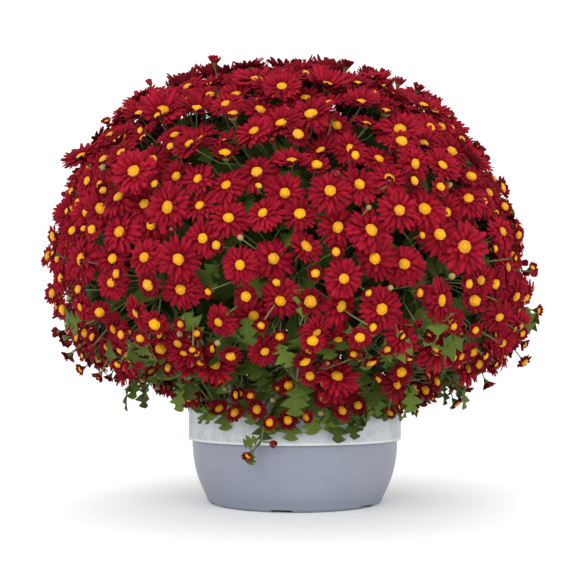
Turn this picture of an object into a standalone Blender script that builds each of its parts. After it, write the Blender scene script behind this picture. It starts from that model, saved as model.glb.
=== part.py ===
"""A garden chrysanthemum in a round plastic pan, in metres, +Z up.

The pot stands on the plane z = 0 with its axis on Z, and soil fills it. The stems
stand in plain holes in the soil and spread into a dome. The upper stems end in
sprays of blooms, and the lowest ones reach over the rim with lobed leaves.
"""

import math
import random

import bmesh
import bpy
import numpy as np
from mathutils import Matrix, Vector

SEED = 41
MESH_GAP = 0.0003

# Pot, a thin moulded pan with a band round its rim
POT_SEGMENTS = 32
POT_HEIGHT = 0.143
BAND_RADIUS = 0.130
BAND_FLARE = 0.0008
BAND_BOTTOM = 0.0755
BAND_LIP = 0.0016
BODY_TOP_RADIUS = 0.1255
BODY_BASE_RADIUS = 0.1035
BODY_ROUNDNESS = 2.15
BODY_STEPS = 4
FOOT_CORNER = 0.006
FOOT_CORNER_STEPS = 2
FOOT_INNER_RADIUS = 0.090
FOOT_DRAFT = 0.0015
WALL = 0.003
BASE_RECESS = 0.0034
RIM_ROUNDING = 0.0016
BAND_WALL = 0.005
INNER_STEP_HEIGHT = 0.0795
INNER_SIDE_LOW = 0.018
INNER_FLOOR_RADIUS = 0.1000

# Notches through the foot ring, which let water run out, and the drain holes
NOTCH_COUNT = 6
NOTCH_FIRST_DEGREES = -98.4
NOTCH_WIDTH = 0.024
NOTCH_HEIGHT = 0.0031
NOTCH_LENGTH = 0.030
DRAIN_COUNT = 6
DRAIN_RADIUS = 0.0055
DRAIN_RING_RADIUS = 0.066
DRAIN_SIDES = 8

# Soil
SOIL_TOP = 0.131
SOIL_MOUND = 0.004
SOIL_SHOULDER = 0.65
STEM_HOLE_DEPTH = 0.022
STEM_HALF_WIDTH = 0.0026

# Dome that the bloom centres lie on
DOME_SHIFT = (0.001, -0.003)
DOME_CENTRE_Z = 0.287
DOME_RADIUS = 0.289
DOME_RISE = 0.242
DOME_DROP = 0.166
DOME_DROP_POWER = 2.6
DOME_LOWEST = 0.168
DOME_SAMPLES = 240
REACH_STEP = 0.01
FLOW_RISE = 0.10
FLOW_HEIGHT_SHARE = 0.42
FLOW_SPREAD_SHARE = 0.18

# Blooms on the dome
BLOOM_COUNT = 255
BLOOM_GREATEST_RADIUS = 0.0225
BLOOM_JITTER = 0.003
BLOOM_DEPTH_IN = 0.010
BLOOM_DEPTH_OUT = 0.006
BLOOM_STRAY_CHANCE = 0.05
BLOOM_STRAY_OUT = 0.012
BLOOM_TILT = 0.33
BLOOM_UPWARD = 0.12
LAST_REACH = 0.995
LEAST_RISE = 0.75
PETALS = 6
TIP_SHARE = (0.90, 1.0)
TIP_HEIGHT = (-0.14, 0.02)
NOTCH_SHARE = 0.70
NOTCH_HEIGHT_SHARE = -0.06
RING_SIDES = 3
DISC_RADIUS = 0.0056
DISC_SHARE = 0.4
DISC_BASE_HEIGHT = 0.0016
DISC_HEIGHT = 0.0050
NECK_RADIUS = 0.0018
NECK_TOP = -0.0050

# Sprays: how many share the dome in each band from the top down
SPRAYS_PER_BAND = (1, 5, 8, 10)
STEM_DISC_RADIUS = 0.090
CORE_DEPTH = 0.046
CORE_MIDDLE_DEPTH = 0.100
CORE_APEX_DEPTH = 0.026
CORE_WIDTH = 0.62
CORE_MIDDLE_WIDTH = 0.46
CORE_START_WIDTH = 0.10
CORE_START = 0.40
NECK_FOOT_DEPTH = 0.062
NECK_FOOT_SPREAD = 0.36

# Leafy shoots that reach over the rim below the sprays
SHOOT_COUNT = 10
SHOOT_RADIUS = 0.100
SHOOT_TWIG_WIDTH = 0.0022
SHOOT_ROUTE = ((0.112, 0.160), (0.145, 0.173), (0.180, 0.161), (0.206, 0.138))
LEAF_LENGTH = 0.040
LEAF_WIDTH_SHARE = 0.82
LEAF_THICKNESS = 0.0012
LEAF_DROOP = 0.22
LEAF_FOLD = 0.10
LEAF_SUNK = 0.7
LEAF_LOBES = ((0.22, 0.11), (0.38, 0.50), (0.52, 0.25), (0.70, 0.44))

# Each leaf's share of the way along the shoot, its heading and its slope in degrees
LEAF_PLACES = ((0.34, -56, -24), (0.45, 52, -34), (0.62, -42, -38), (0.80, 34, -44), (0.94, -10, -60))
LEAF_TURN_JITTER = 7
SMALL_BLOOM_RADIUS = 0.0135
SMALL_BLOOM_SHARE = 0.90
SMALL_BLOOM_STALK = (0.024, 0.030)

FOLIAGE_GREEN = (0.075, 0.095, 0.022)
PETAL_RED = (0.30, 0.012, 0.018)
POT_GREY = (0.31, 0.34, 0.39)
SOIL_BROWN = (0.035, 0.022, 0.014)


def clear_scene():
    """Starts from an empty scene."""
    for thing in list(bpy.data.objects):
        bpy.data.objects.remove(thing, do_unlink=True)


def material(name, colour, roughness):
    """A plain Principled material, shared by the objects that use it."""
    made = bpy.data.materials.get(name)
    if made is None:
        made = bpy.data.materials.new(name)
        made.use_nodes = True
        shader = made.node_tree.nodes["Principled BSDF"]
        shader.inputs["Base Color"].default_value = (*colour, 1.0)
        shader.inputs["Roughness"].default_value = roughness
        shader.inputs["Metallic"].default_value = 0.0
    return made


def make_object(name, mesh_data, finish=None):
    """Closes the bmesh into a named object with outward faces."""
    bmesh.ops.recalc_face_normals(mesh_data, faces=mesh_data.faces)
    mesh = bpy.data.meshes.new(name)
    mesh_data.to_mesh(mesh)
    mesh_data.free()
    made = bpy.data.objects.new(name, mesh)
    bpy.context.scene.collection.objects.link(made)
    if finish is not None:
        mesh.materials.append(finish)
    return made


def combine(body, pieces, operation):
    """Joins the pieces to the body, or cuts them out of it, in one Boolean."""
    group = bpy.data.collections.new(body.name + "_pieces")
    bpy.context.scene.collection.children.link(group)
    for piece in pieces:
        bpy.context.scene.collection.objects.unlink(piece)
        group.objects.link(piece)
    step = body.modifiers.new("Combine", "BOOLEAN")
    step.operation = operation
    step.solver = "EXACT"
    step.operand_type = "COLLECTION"
    step.collection = group
    bpy.context.view_layer.objects.active = body
    bpy.ops.object.modifier_apply(modifier=step.name)
    for piece in pieces:
        bpy.data.objects.remove(piece, do_unlink=True)
    bpy.data.collections.remove(group)


def turned(name, profile, segments, finish):
    """Spins an outline that starts and ends on the axis into a round solid."""
    work = bmesh.new()
    points = [work.verts.new((radius, 0.0, height)) for radius, height in profile]
    edges = [work.edges.new(pair) for pair in zip(points, points[1:])]
    bmesh.ops.spin(
        work, geom=points + edges, cent=(0, 0, 0), axis=(0, 0, 1), dvec=(0, 0, 0),
        angle=math.tau, steps=segments, use_duplicate=False,
    )
    bmesh.ops.remove_doubles(work, verts=work.verts, dist=1e-5)
    return make_object(name, work, finish)


def smooth_round(thing, sharp_angle):
    """Shades a round piece smooth, with its edges kept sharp."""
    thing.data.shade_smooth()
    thing.data.set_sharp_from_angle(angle=math.radians(sharp_angle))


def body_radius(height):
    """Outer radius of the pot's body, which swells from its foot to its band."""
    share = min(max(height / BAND_BOTTOM, 0.0), 1.0)
    swell = 1.0 - (1.0 - share) ** BODY_ROUNDNESS
    return BODY_BASE_RADIUS + (BODY_TOP_RADIUS - BODY_BASE_RADIUS) * swell


def arc(centre, radius, start, end, steps):
    """Points on an arc in the outline's plane, with angles in degrees."""
    angles = np.radians(np.linspace(start, end, steps + 1))
    return [(centre[0] + radius * math.cos(a), centre[1] + radius * math.sin(a)) for a in angles]


def inner_outline(clearance):
    """The pot's inner wall from its step down to the floor, drawn in by a clearance."""
    floor = BASE_RECESS + WALL + clearance
    heights = (BAND_BOTTOM - WALL, INNER_SIDE_LOW)
    sides = [(body_radius(height) - WALL - clearance, height) for height in heights]
    step = (BAND_RADIUS - BAND_WALL - clearance, INNER_STEP_HEIGHT)
    return [step, *sides, (INNER_FLOOR_RADIUS - clearance, floor), (0.0, floor)]


def make_pot(finish):
    """The pan: foot ring, swelling body, overhanging band and rounded rim."""
    foot_centre = (body_radius(FOOT_CORNER) - FOOT_CORNER, FOOT_CORNER)
    foot_arc = arc(foot_centre, FOOT_CORNER, -90, 0, FOOT_CORNER_STEPS)
    heights = np.linspace(FOOT_CORNER * 2, BAND_BOTTOM + BAND_LIP / 2, BODY_STEPS)
    sides = [(body_radius(height), height) for height in heights]
    band_top = BAND_RADIUS + BAND_FLARE
    rim = arc((band_top - RIM_ROUNDING, POT_HEIGHT - RIM_ROUNDING), RIM_ROUNDING, 0, 180, 2)
    profile = [
        (0.0, BASE_RECESS),
        (FOOT_INNER_RADIUS - FOOT_DRAFT, BASE_RECESS),
        (FOOT_INNER_RADIUS, 0.0),
        *foot_arc,
        *sides,
        (BAND_RADIUS - BAND_LIP / 2, BAND_BOTTOM - BAND_LIP / 2),
        (BAND_RADIUS, BAND_BOTTOM + BAND_LIP / 2),
        *rim,
        *inner_outline(0.0),
    ]
    pot = turned("pot", profile, POT_SEGMENTS, finish)
    combine(pot, notch_cutters() + drain_cutters(), "DIFFERENCE")
    smooth_round(pot, 35)


def notch_cutters():
    """Boxes across the foot ring, evenly spaced round it."""
    cutters = []
    for index in range(NOTCH_COUNT):
        turn = Matrix.Rotation(math.radians(NOTCH_FIRST_DEGREES + index * 360 / NOTCH_COUNT), 4, "Z")
        size = Matrix.Diagonal((NOTCH_LENGTH, NOTCH_WIDTH, NOTCH_HEIGHT * 2, 1.0))
        place = Matrix.Translation(((FOOT_INNER_RADIUS + BODY_BASE_RADIUS) / 2, 0.0, 0.0))
        work = bmesh.new()
        bmesh.ops.create_cube(work, size=1.0, matrix=turn @ place @ size)
        cutters.append(make_object(f"notch_cutter_{index}", work))
    return cutters


def drain_cutters():
    """Round cutters through the pot's floor."""
    cutters = []
    for index in range(DRAIN_COUNT):
        turn = Matrix.Rotation(index * math.tau / DRAIN_COUNT, 4, "Z")
        place = Matrix.Translation((DRAIN_RING_RADIUS, 0.0, BASE_RECESS))
        work = bmesh.new()
        bmesh.ops.create_cone(
            work, cap_ends=True, segments=DRAIN_SIDES, radius1=DRAIN_RADIUS,
            radius2=DRAIN_RADIUS, depth=WALL * 4, matrix=turn @ place,
        )
        cutters.append(make_object(f"drain_cutter_{index}", work))
    return cutters


def make_soil(stems, finish):
    """Soil up to the rim, with one plain hole for each stem."""
    outline = inner_outline(MESH_GAP)
    edge_radius = outline[0][0]
    shoulder = (edge_radius * SOIL_SHOULDER, SOIL_TOP + SOIL_MOUND * SOIL_SHOULDER)
    profile = [(0.0, SOIL_TOP + SOIL_MOUND), shoulder, (edge_radius, SOIL_TOP), *outline]
    soil = turned("soil", profile, POT_SEGMENTS, finish)
    cutters = []
    for index, (foot, direction) in enumerate(stems):
        hole = STEM_HALF_WIDTH + MESH_GAP
        bottom = SOIL_TOP - STEM_HOLE_DEPTH - MESH_GAP
        top = SOIL_TOP + SOIL_MOUND * 2
        rings = [square(foot, direction, hole, height) for height in (bottom, top)]
        work = bmesh.new()
        loft(work, rings)
        cutters.append(make_object(f"hole_cutter_{index}", work))
    combine(soil, cutters, "DIFFERENCE")
    smooth_round(soil, 35)


def square(foot, direction, half, height):
    """Four corners of a level square, one side facing along a direction."""
    radial = Vector((math.cos(direction), math.sin(direction), 0.0))
    across = Vector((-radial.y, radial.x, 0.0))
    centre = Vector((foot[0], foot[1], height))
    signs = ((-1, -1), (1, -1), (1, 1), (-1, 1))
    return [centre + radial * (half * a) + across * (half * b) for a, b in signs]


def loft(work, rings, apex=None):
    """Joins equal rings of points by walls, with a flat or a pointed end."""
    loops = [[work.verts.new(point) for point in ring] for ring in rings]
    sides = len(loops[0])
    for low, high in zip(loops, loops[1:]):
        for k in range(sides):
            after = (k + 1) % sides
            work.faces.new((low[k], low[after], high[after], high[k]))
    work.faces.new(list(reversed(loops[0])))
    if apex is None:
        work.faces.new(loops[-1])
    else:
        fan(work, loops[-1], work.verts.new(apex))


def fan(work, ring, tip):
    """Triangles from each side of a ring to one point."""
    for k, corner in enumerate(ring):
        work.faces.new((corner, ring[(k + 1) % len(ring)], tip))


def zip_rings(work, outer, inner):
    """Joins a ring to a smaller ring that has a whole fraction of its points."""
    step = len(outer) // len(inner)
    for j, corner in enumerate(inner):
        for k in range(step):
            first = outer[j * step + k]
            second = outer[(j * step + k + 1) % len(outer)]
            work.faces.new((first, second, corner))
        turn = outer[(j + 1) * step % len(outer)]
        work.faces.new((turn, inner[(j + 1) % len(inner)], corner))


def facing(point, axis, roll):
    """A frame at a point whose Z runs along the axis, turned about it by roll."""
    turn = axis.to_track_quat("Z", "Y").to_matrix().to_4x4()
    return Matrix.Translation(point) @ turn @ Matrix.Rotation(roll, 4, "Z")


def make_bloom(name, frame, radius, foot, rng):
    """One bloom: a star of thick petals, a raised disc and a neck down to its foot."""
    work = bmesh.new()
    outline = []
    for k in range(PETALS * 2):
        angle = math.pi * k / PETALS
        if k % 2 == 0:
            span = radius * rng.uniform(*TIP_SHARE)
            height = radius * rng.uniform(*TIP_HEIGHT)
        else:
            span = radius * NOTCH_SHARE
            height = radius * NOTCH_HEIGHT_SHARE
        reach = math.sqrt(span**2 - height**2)
        place = Vector((reach * math.cos(angle), reach * math.sin(angle), height))
        outline.append(work.verts.new(frame @ place))
    disc = ring_points(work, frame, min(DISC_RADIUS, radius * DISC_SHARE), DISC_BASE_HEIGHT)
    zip_rings(work, outline, disc)
    fan(work, disc, work.verts.new(frame @ Vector((0, 0, DISC_HEIGHT))))
    neck = ring_points(work, frame, NECK_RADIUS, NECK_TOP)
    zip_rings(work, outline, neck)
    fan(work, neck, work.verts.new(foot))
    return make_object(name, work)


def ring_points(work, frame, radius, height):
    """New points on a circle about a frame's Z, for a disc or a neck."""
    made = []
    for k in range(RING_SIDES):
        angle = math.tau * (k + 0.5) / RING_SIDES
        place = Vector((radius * math.cos(angle), radius * math.sin(angle), height))
        made.append(work.verts.new(frame @ place))
    return made


class Dome:
    """The surface that the bloom centres lie on, with its stems' flow lines."""

    def __init__(self):
        """Samples the outline from the top down, with the area above each sample."""
        turn = np.linspace(0.0, math.pi / 2, DOME_SAMPLES)
        upper_radius = DOME_RADIUS * np.sin(turn)
        upper_height = DOME_CENTRE_Z + DOME_RISE * np.cos(turn)
        lower_height = np.linspace(DOME_CENTRE_Z, DOME_LOWEST, DOME_SAMPLES)[1:]
        share = (DOME_CENTRE_Z - lower_height) / DOME_DROP
        lower_radius = DOME_RADIUS * (1.0 - share**DOME_DROP_POWER) ** (1.0 / DOME_DROP_POWER)
        self.radius = np.concatenate([upper_radius, lower_radius])
        self.height = np.concatenate([upper_height, lower_height])
        step = np.hypot(np.diff(self.radius), np.diff(self.height))
        middle = (self.radius[1:] + self.radius[:-1]) / 2
        area = np.concatenate([[0.0], np.cumsum(math.tau * middle * step)])
        self.reach = np.sqrt(area / area[-1])
        self.length = float(step.sum())

    def outline(self, reach):
        """Radius and height at a reach from 0, the top, to 1, the lower edge."""
        radius = float(np.interp(reach, self.reach, self.radius))
        height = float(np.interp(reach, self.reach, self.height))
        return radius, height

    def point(self, reach, turn):
        """The point of the dome at a reach and an angle about the axis."""
        radius, height = self.outline(reach)
        flat = Vector((radius * math.cos(turn), radius * math.sin(turn), height))
        return flat + Vector((*DOME_SHIFT, 0.0))

    def normal(self, reach, turn):
        """The outward direction there."""
        low = self.outline(min(reach + REACH_STEP, 1.0))
        high = self.outline(max(reach - REACH_STEP, 0.0))
        along = Vector((low[0] - high[0], low[1] - high[1])).normalized()
        return Vector((-along.y * math.cos(turn), -along.y * math.sin(turn), along.x)).normalized()

    def flow(self, reach, turn, depth=None, share=None):
        """A point on the way from the soil to the dome, by depth from its end or by share."""
        radius, height = self.outline(reach)
        foot = STEM_DISC_RADIUS * reach
        start = Vector((foot, SOIL_TOP))
        bend_height = SOIL_TOP + FLOW_RISE + FLOW_HEIGHT_SHARE * (height - SOIL_TOP)
        bend = Vector((foot + FLOW_SPREAD_SHARE * (radius - foot), bend_height))
        end = Vector((radius, height))
        if share is None:
            share = 1.0 - depth / (2.0 * (end - bend).length)
        rest = 1.0 - share
        flat = start * rest**2 + bend * (2 * rest * share) + end * share**2
        shift = Vector((*DOME_SHIFT, 0.0)) * share
        return Vector((flat.x * math.cos(turn), flat.x * math.sin(turn), flat.y)) + shift


class Spray:
    """One stem with its part of the dome: a slim core that its blooms stand out of."""

    def __init__(self, name, low, high, turn, half_turn):
        """Takes the reach from low to high, and the angle turn with a half width."""
        self.name = name
        self.low = low
        self.high = high
        self.turn = turn
        self.half_turn = half_turn
        self.whole = half_turn >= math.pi
        self.middle = 0.0 if self.whole else (low + high) / 2
        self.blooms = []

    def holds(self, reach, turn):
        """Whether a place on the dome belongs to this spray."""
        if not self.low <= reach < self.high:
            return False
        return self.whole or abs(angle_between(turn, self.turn)) <= self.half_turn

    def foot(self):
        """Where the stem stands in the soil, and which way it faces."""
        radius = STEM_DISC_RADIUS * self.middle
        return (radius * math.cos(self.turn), radius * math.sin(self.turn)), self.turn

    def section(self, dome, width, depth=None, share=None):
        """Four corners of the core at a depth, drawn in to a share of the spray's part."""
        corners = []
        for a, b in ((-1, -1), (1, -1), (1, 1), (-1, 1)):
            if self.whole:
                reach = self.high * width
                turn = self.turn + math.atan2(b, a)
            else:
                reach = self.middle + a * width * (self.high - self.low) / 2
                turn = self.turn + b * width * self.half_turn
            corners.append(dome.flow(reach, turn, depth, share))
        return corners

    def neck_foot(self, dome, reach, turn):
        """Where a bloom's neck ends inside the core."""
        if self.whole:
            return dome.flow(reach * NECK_FOOT_SPREAD, turn, NECK_FOOT_DEPTH)
        inner_reach = self.middle + NECK_FOOT_SPREAD * (reach - self.middle)
        inner_turn = self.turn + NECK_FOOT_SPREAD * angle_between(turn, self.turn)
        return dome.flow(inner_reach, inner_turn, NECK_FOOT_DEPTH)

    def build(self, dome, rng, finish):
        """Makes the stem and core, and joins the blooms to them."""
        place, direction = self.foot()
        rings = [
            square(place, direction, STEM_HALF_WIDTH, SOIL_TOP - STEM_HOLE_DEPTH),
            square(place, direction, STEM_HALF_WIDTH, SOIL_TOP + SOIL_MOUND * 2),
            self.section(dome, CORE_START_WIDTH, share=CORE_START),
            self.section(dome, CORE_MIDDLE_WIDTH, depth=CORE_MIDDLE_DEPTH),
            self.section(dome, CORE_WIDTH, depth=CORE_DEPTH),
        ]
        work = bmesh.new()
        loft(work, rings, dome.flow(self.middle, self.turn, CORE_APEX_DEPTH))
        body = make_object(self.name, work, finish)
        blooms = []
        for index, (centre, axis, radius, reach, turn) in enumerate(self.blooms):
            foot = self.neck_foot(dome, reach, turn)
            rise = (centre - foot).normalized()
            if axis.dot(rise) < LEAST_RISE:
                axis = (axis + rise).normalized()
            frame = facing(centre, axis, rng.uniform(0.0, math.tau))
            blooms.append(make_bloom(f"{self.name}_bloom_{index}", frame, radius, foot, rng))
        combine(body, blooms, "UNION")


def angle_between(first, second):
    """The signed turn from the second angle to the first, within half a circle."""
    return (first - second + math.pi) % math.tau - math.pi


def lay_out_sprays():
    """Shares the dome among the sprays in equal areas, band by band."""
    total = sum(SPRAYS_PER_BAND)
    sprays = []
    above = 0
    for band, count in enumerate(SPRAYS_PER_BAND):
        low = math.sqrt(above / total)
        high = math.sqrt((above + count) / total)
        half_turn = math.pi / count
        for index in range(count):
            turn = (index + 0.5 * (band % 2)) * math.tau / count
            sprays.append(Spray(f"spray_{len(sprays) + 1:02d}", low, high, turn, half_turn))
        above += count
    return sprays


def lay_out_blooms(dome, rng):
    """Spreads the bloom centres evenly over the dome, each moved a little at random."""
    golden = math.pi * (3.0 - math.sqrt(5.0))
    places = []
    for index in range(BLOOM_COUNT):
        reach = math.sqrt((index + 0.5) / BLOOM_COUNT)
        turn = index * golden
        radius, _ = dome.outline(reach)
        reach += rng.uniform(-1, 1) * BLOOM_JITTER / dome.length
        reach = min(max(reach, 0.0), LAST_REACH)
        turn += rng.uniform(-1, 1) * BLOOM_JITTER / max(radius, BLOOM_JITTER * 10)
        outward = rng.uniform(-BLOOM_DEPTH_IN, BLOOM_DEPTH_OUT)
        if rng.random() < BLOOM_STRAY_CHANCE:
            outward = BLOOM_STRAY_OUT
        normal = dome.normal(reach, turn)
        centre = dome.point(reach, turn) + normal * outward
        lean = Vector((rng.gauss(0, 1), rng.gauss(0, 1), rng.gauss(0, 1))) * BLOOM_TILT
        axis = (normal + lean + Vector((0, 0, BLOOM_UPWARD))).normalized()
        places.append((centre, axis, reach, turn % math.tau))
    return places


def bloom_radii(places):
    """The radius of each bloom, which stops short of its nearest neighbour."""
    centres = np.array([list(place[0]) for place in places])
    gaps = np.linalg.norm(centres[:, None] - centres[None], axis=2)
    np.fill_diagonal(gaps, 1.0)
    return np.minimum(gaps.min(axis=1) / 2 - MESH_GAP, BLOOM_GREATEST_RADIUS)


def make_sprays(dome, sprays, rng, finish):
    """Gives each bloom to its spray and builds them all."""
    places = lay_out_blooms(dome, rng)
    for (centre, axis, reach, turn), radius in zip(places, bloom_radii(places)):
        owner = next(spray for spray in sprays if spray.holds(reach, turn))
        owner.blooms.append((centre, axis, float(radius), reach, turn))
    for spray in sprays:
        spray.build(dome, rng, finish)


def make_leaf(name, frame, length):
    """A lobed blade along the frame's X, arched down, thickest along its midrib."""
    width = length * LEAF_WIDTH_SHARE
    half = LEAF_THICKNESS / 2
    work = bmesh.new()

    def corner(x, y, height):
        drop = LEAF_DROOP * length * x**2 + LEAF_FOLD * width * abs(y)
        return work.verts.new(frame @ Vector((x * length, y * width, height - drop)))

    outline = [(x, -y) for x, y in LEAF_LOBES]
    outline += [(1.0, 0.0)]
    outline += [(x, y) for x, y in reversed(LEAF_LOBES)]
    edge = [corner(x, y, 0.0) for x, y in outline]
    stalk = [corner(0.0, 0.0, side * half) for side in (1, -1)]
    for base, side in zip(stalk, (1, -1)):
        fan(work, [base, *edge], corner(0.5, 0.0, side * half))
    work.faces.new((*stalk, edge[0]))
    work.faces.new((*stalk, edge[-1]))
    return make_object(name, work)


def leaf_frame(root, radial, across, heading, slope):
    """A frame with X out along a leaf: a heading from the radial way, and a slope, in degrees."""
    up = Vector((0.0, 0.0, 1.0))
    heading = math.radians(heading)
    slope = math.radians(slope)
    flat = radial * math.cos(heading) + across * math.sin(heading)
    forward = flat * math.cos(slope) + up * math.sin(slope)
    sideways = up.cross(forward).normalized()
    turn = Matrix((forward, sideways, forward.cross(sideways))).transposed().to_4x4()
    return Matrix.Translation(root - forward * SHOOT_TWIG_WIDTH * LEAF_SUNK) @ turn


def shoot_points():
    """Radius and height along a shoot, from the bottom of its hole to its tip."""
    start = [
        (SHOOT_RADIUS, SOIL_TOP - STEM_HOLE_DEPTH),
        (SHOOT_RADIUS, SOIL_TOP + SOIL_MOUND * 2),
    ]
    return start + list(SHOOT_ROUTE)


def make_shoot(name, turn, rng, finish):
    """One low stem over the rim, with lobed leaves and a few small blooms."""
    radial = Vector((math.cos(turn), math.sin(turn), 0.0))
    across = Vector((-radial.y, radial.x, 0.0))
    up = Vector((0.0, 0.0, 1.0))
    route = [radial * radius + up * height for radius, height in shoot_points()]
    foot = (route[0].x, route[0].y)
    rings = [square(foot, turn, STEM_HALF_WIDTH, point.z) for point in route[:2]]
    for before, point, after in zip(route[1:], route[2:], route[3:] + [route[-1] * 2 - route[-2]]):
        along = (after - before).normalized()
        side = along.cross(across).normalized()
        corners = ((1, -1), (-1, -1), (-1, 1), (1, 1))
        half = SHOOT_TWIG_WIDTH
        rings.append([point + side * (half * a) + across * (half * b) for a, b in corners])
    work = bmesh.new()
    loft(work, rings)
    body = make_object(name, work, finish)
    pieces = []
    for index, (share, heading, slope) in enumerate(LEAF_PLACES):
        root = along_route(route[2:], share)
        heading += rng.uniform(-LEAF_TURN_JITTER, LEAF_TURN_JITTER)
        slope += rng.uniform(-LEAF_TURN_JITTER, LEAF_TURN_JITTER)
        frame = leaf_frame(root, radial, across, heading, slope)
        length = LEAF_LENGTH * rng.uniform(0.85, 1.0)
        pieces.append(make_leaf(f"{name}_leaf_{index}", frame, length))
    root = along_route(route[2:], SMALL_BLOOM_SHARE)
    out = (radial + across * rng.uniform(0.5, 0.7)).normalized()
    centre = root + out * rng.uniform(*SMALL_BLOOM_STALK)
    frame = facing(centre, out, rng.uniform(0, math.tau))
    pieces.append(make_bloom(f"{name}_bloom", frame, SMALL_BLOOM_RADIUS, root, rng))
    combine(body, pieces, "UNION")


def along_route(route, share):
    """The point at a share of a polyline's points."""
    place = share * (len(route) - 1)
    index = min(int(place), len(route) - 2)
    return route[index].lerp(route[index + 1], place - index)


def main():
    """Builds the whole plant in its pot."""
    clear_scene()
    rng = random.Random(SEED)
    foliage = material("foliage_green", FOLIAGE_GREEN, 0.6)
    petals = material("petal_red", PETAL_RED, 0.7)
    dome = Dome()
    sprays = lay_out_sprays()
    shoot_turns = [(index + 0.5) * math.tau / SHOOT_COUNT for index in range(SHOOT_COUNT)]
    stems = [spray.foot() for spray in sprays]
    for turn in shoot_turns:
        stems.append(((SHOOT_RADIUS * math.cos(turn), SHOOT_RADIUS * math.sin(turn)), turn))
    make_pot(material("pot_grey", POT_GREY, 0.45))
    make_soil(stems, material("soil_brown", SOIL_BROWN, 0.95))
    make_sprays(dome, sprays, rng, petals)
    for index, turn in enumerate(shoot_turns):
        make_shoot(f"leafy_shoot_{index + 1:02d}", turn, rng, foliage)


main()
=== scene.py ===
"""Finished look of a pot chrysanthemum: pot, soil, stems, leaves, buds and blooms, in metres."""

from __future__ import annotations

import logging
import math
import random
from collections.abc import Callable, Iterable, Sequence
from dataclasses import dataclass, field, replace
from enum import Enum

import bmesh
import bpy
import numpy as np
from mathutils import Matrix, Vector


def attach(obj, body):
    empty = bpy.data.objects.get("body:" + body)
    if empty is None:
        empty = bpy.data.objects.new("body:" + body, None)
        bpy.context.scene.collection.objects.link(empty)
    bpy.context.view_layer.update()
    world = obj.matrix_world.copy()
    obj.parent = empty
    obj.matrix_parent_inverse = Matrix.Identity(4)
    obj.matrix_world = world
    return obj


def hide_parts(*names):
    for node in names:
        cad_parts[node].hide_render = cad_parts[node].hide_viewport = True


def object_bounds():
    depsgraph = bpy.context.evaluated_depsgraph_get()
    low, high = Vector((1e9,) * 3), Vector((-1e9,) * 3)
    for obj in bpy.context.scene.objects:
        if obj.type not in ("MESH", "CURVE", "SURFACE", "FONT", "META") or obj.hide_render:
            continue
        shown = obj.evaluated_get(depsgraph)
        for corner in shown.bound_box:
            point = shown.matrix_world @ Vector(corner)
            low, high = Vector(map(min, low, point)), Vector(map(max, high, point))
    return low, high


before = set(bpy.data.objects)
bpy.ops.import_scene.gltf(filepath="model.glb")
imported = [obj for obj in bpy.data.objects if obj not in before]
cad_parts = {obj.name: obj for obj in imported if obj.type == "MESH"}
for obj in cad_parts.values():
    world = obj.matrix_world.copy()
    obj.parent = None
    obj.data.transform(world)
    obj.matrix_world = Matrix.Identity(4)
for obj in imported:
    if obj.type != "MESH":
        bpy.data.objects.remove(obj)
CAD_BOX = [[float(value) for value in corner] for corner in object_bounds()]

log = logging.getLogger("pot_chrysanthemum")

SEED = 41
BODY = "root"
LOOK = "look"
BAKE_MAP = "OFBake"
SHADES = 8
SORTS = 4
UP = Vector((0.0, 0.0, 1.0))
RISE = np.array([0.0, 0.0, 1.0])
GOLDEN_TURN = math.pi * (3.0 - math.sqrt(5.0))
LAST_REACH = 0.995
SOIL_TOP = 0.131

Colour = tuple[float, float, float]
Point = tuple[float, float, float]
Span = tuple[float, float]
Array = np.ndarray
Material = bpy.types.Material
Thing = bpy.types.Object


class Slot(Enum):
    """The record's material slots."""

    POT = "pot"
    SOIL = "soil"
    PETALS = "petals"
    FOLIAGE = "foliage"


class Stage(Enum):
    """How far a bloom has opened."""

    OPEN = "open"
    UNDER = "under"
    YOUNG = "young"
    OPENING = "opening"
    COLOURED_BUD = "coloured_bud"
    GREEN_BUD = "green_bud"


class Green(Enum):
    """The sorts of green surface, in the order of their marks."""

    STALK = 0
    CUP = 1
    LEAF = 2
    BUD = 3

    @property
    def mark(self) -> float:
        """The sort's mark on a mesh, from 0 to 1."""
        return self.value / (SORTS - 1)


# Small helpers


def clipped(value: float) -> float:
    """A number brought between 0 and 1."""
    return min(max(value, 0.0), 1.0)


def scatter(rng: random.Random) -> Point:
    """Three random numbers around 0."""
    return rng.gauss(0, 1), rng.gauss(0, 1), rng.gauss(0, 1)


def any_sort(rng: random.Random) -> float:
    """The mark of a random sort."""
    return rng.randrange(SORTS) / (SORTS - 1)


def columns(*values: Array) -> Array:
    """Arrays put side by side as columns."""
    return np.stack(values, axis=1)


def unit(vectors: Array) -> Array:
    """Vectors brought to length 1."""
    return vectors / np.maximum(np.linalg.norm(vectors, axis=-1, keepdims=True), 1e-12)


def outward(turn: float) -> Array:
    """The flat way outwards at an angle about the axis."""
    return np.array([math.cos(turn), math.sin(turn), 0.0])


def angle_between(first: float, second: float) -> float:
    """The signed turn from the second angle to the first, within half a circle."""
    return (first - second + math.pi) % math.tau - math.pi


def facing(axis: Vector, roll: float) -> Array:
    """The axes, as rows, of a frame whose Z looks along an axis and that is rolled about it."""
    turn = axis.to_track_quat("Z", "Y").to_matrix() @ Matrix.Rotation(roll, 3, "Z")
    return np.array(turn.transposed())


def even_turns(count: int, first: float = 0.0) -> list[float]:
    """Angles spread evenly round the axis, in radians."""
    return [first + index * math.tau / count for index in range(count)]


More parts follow.
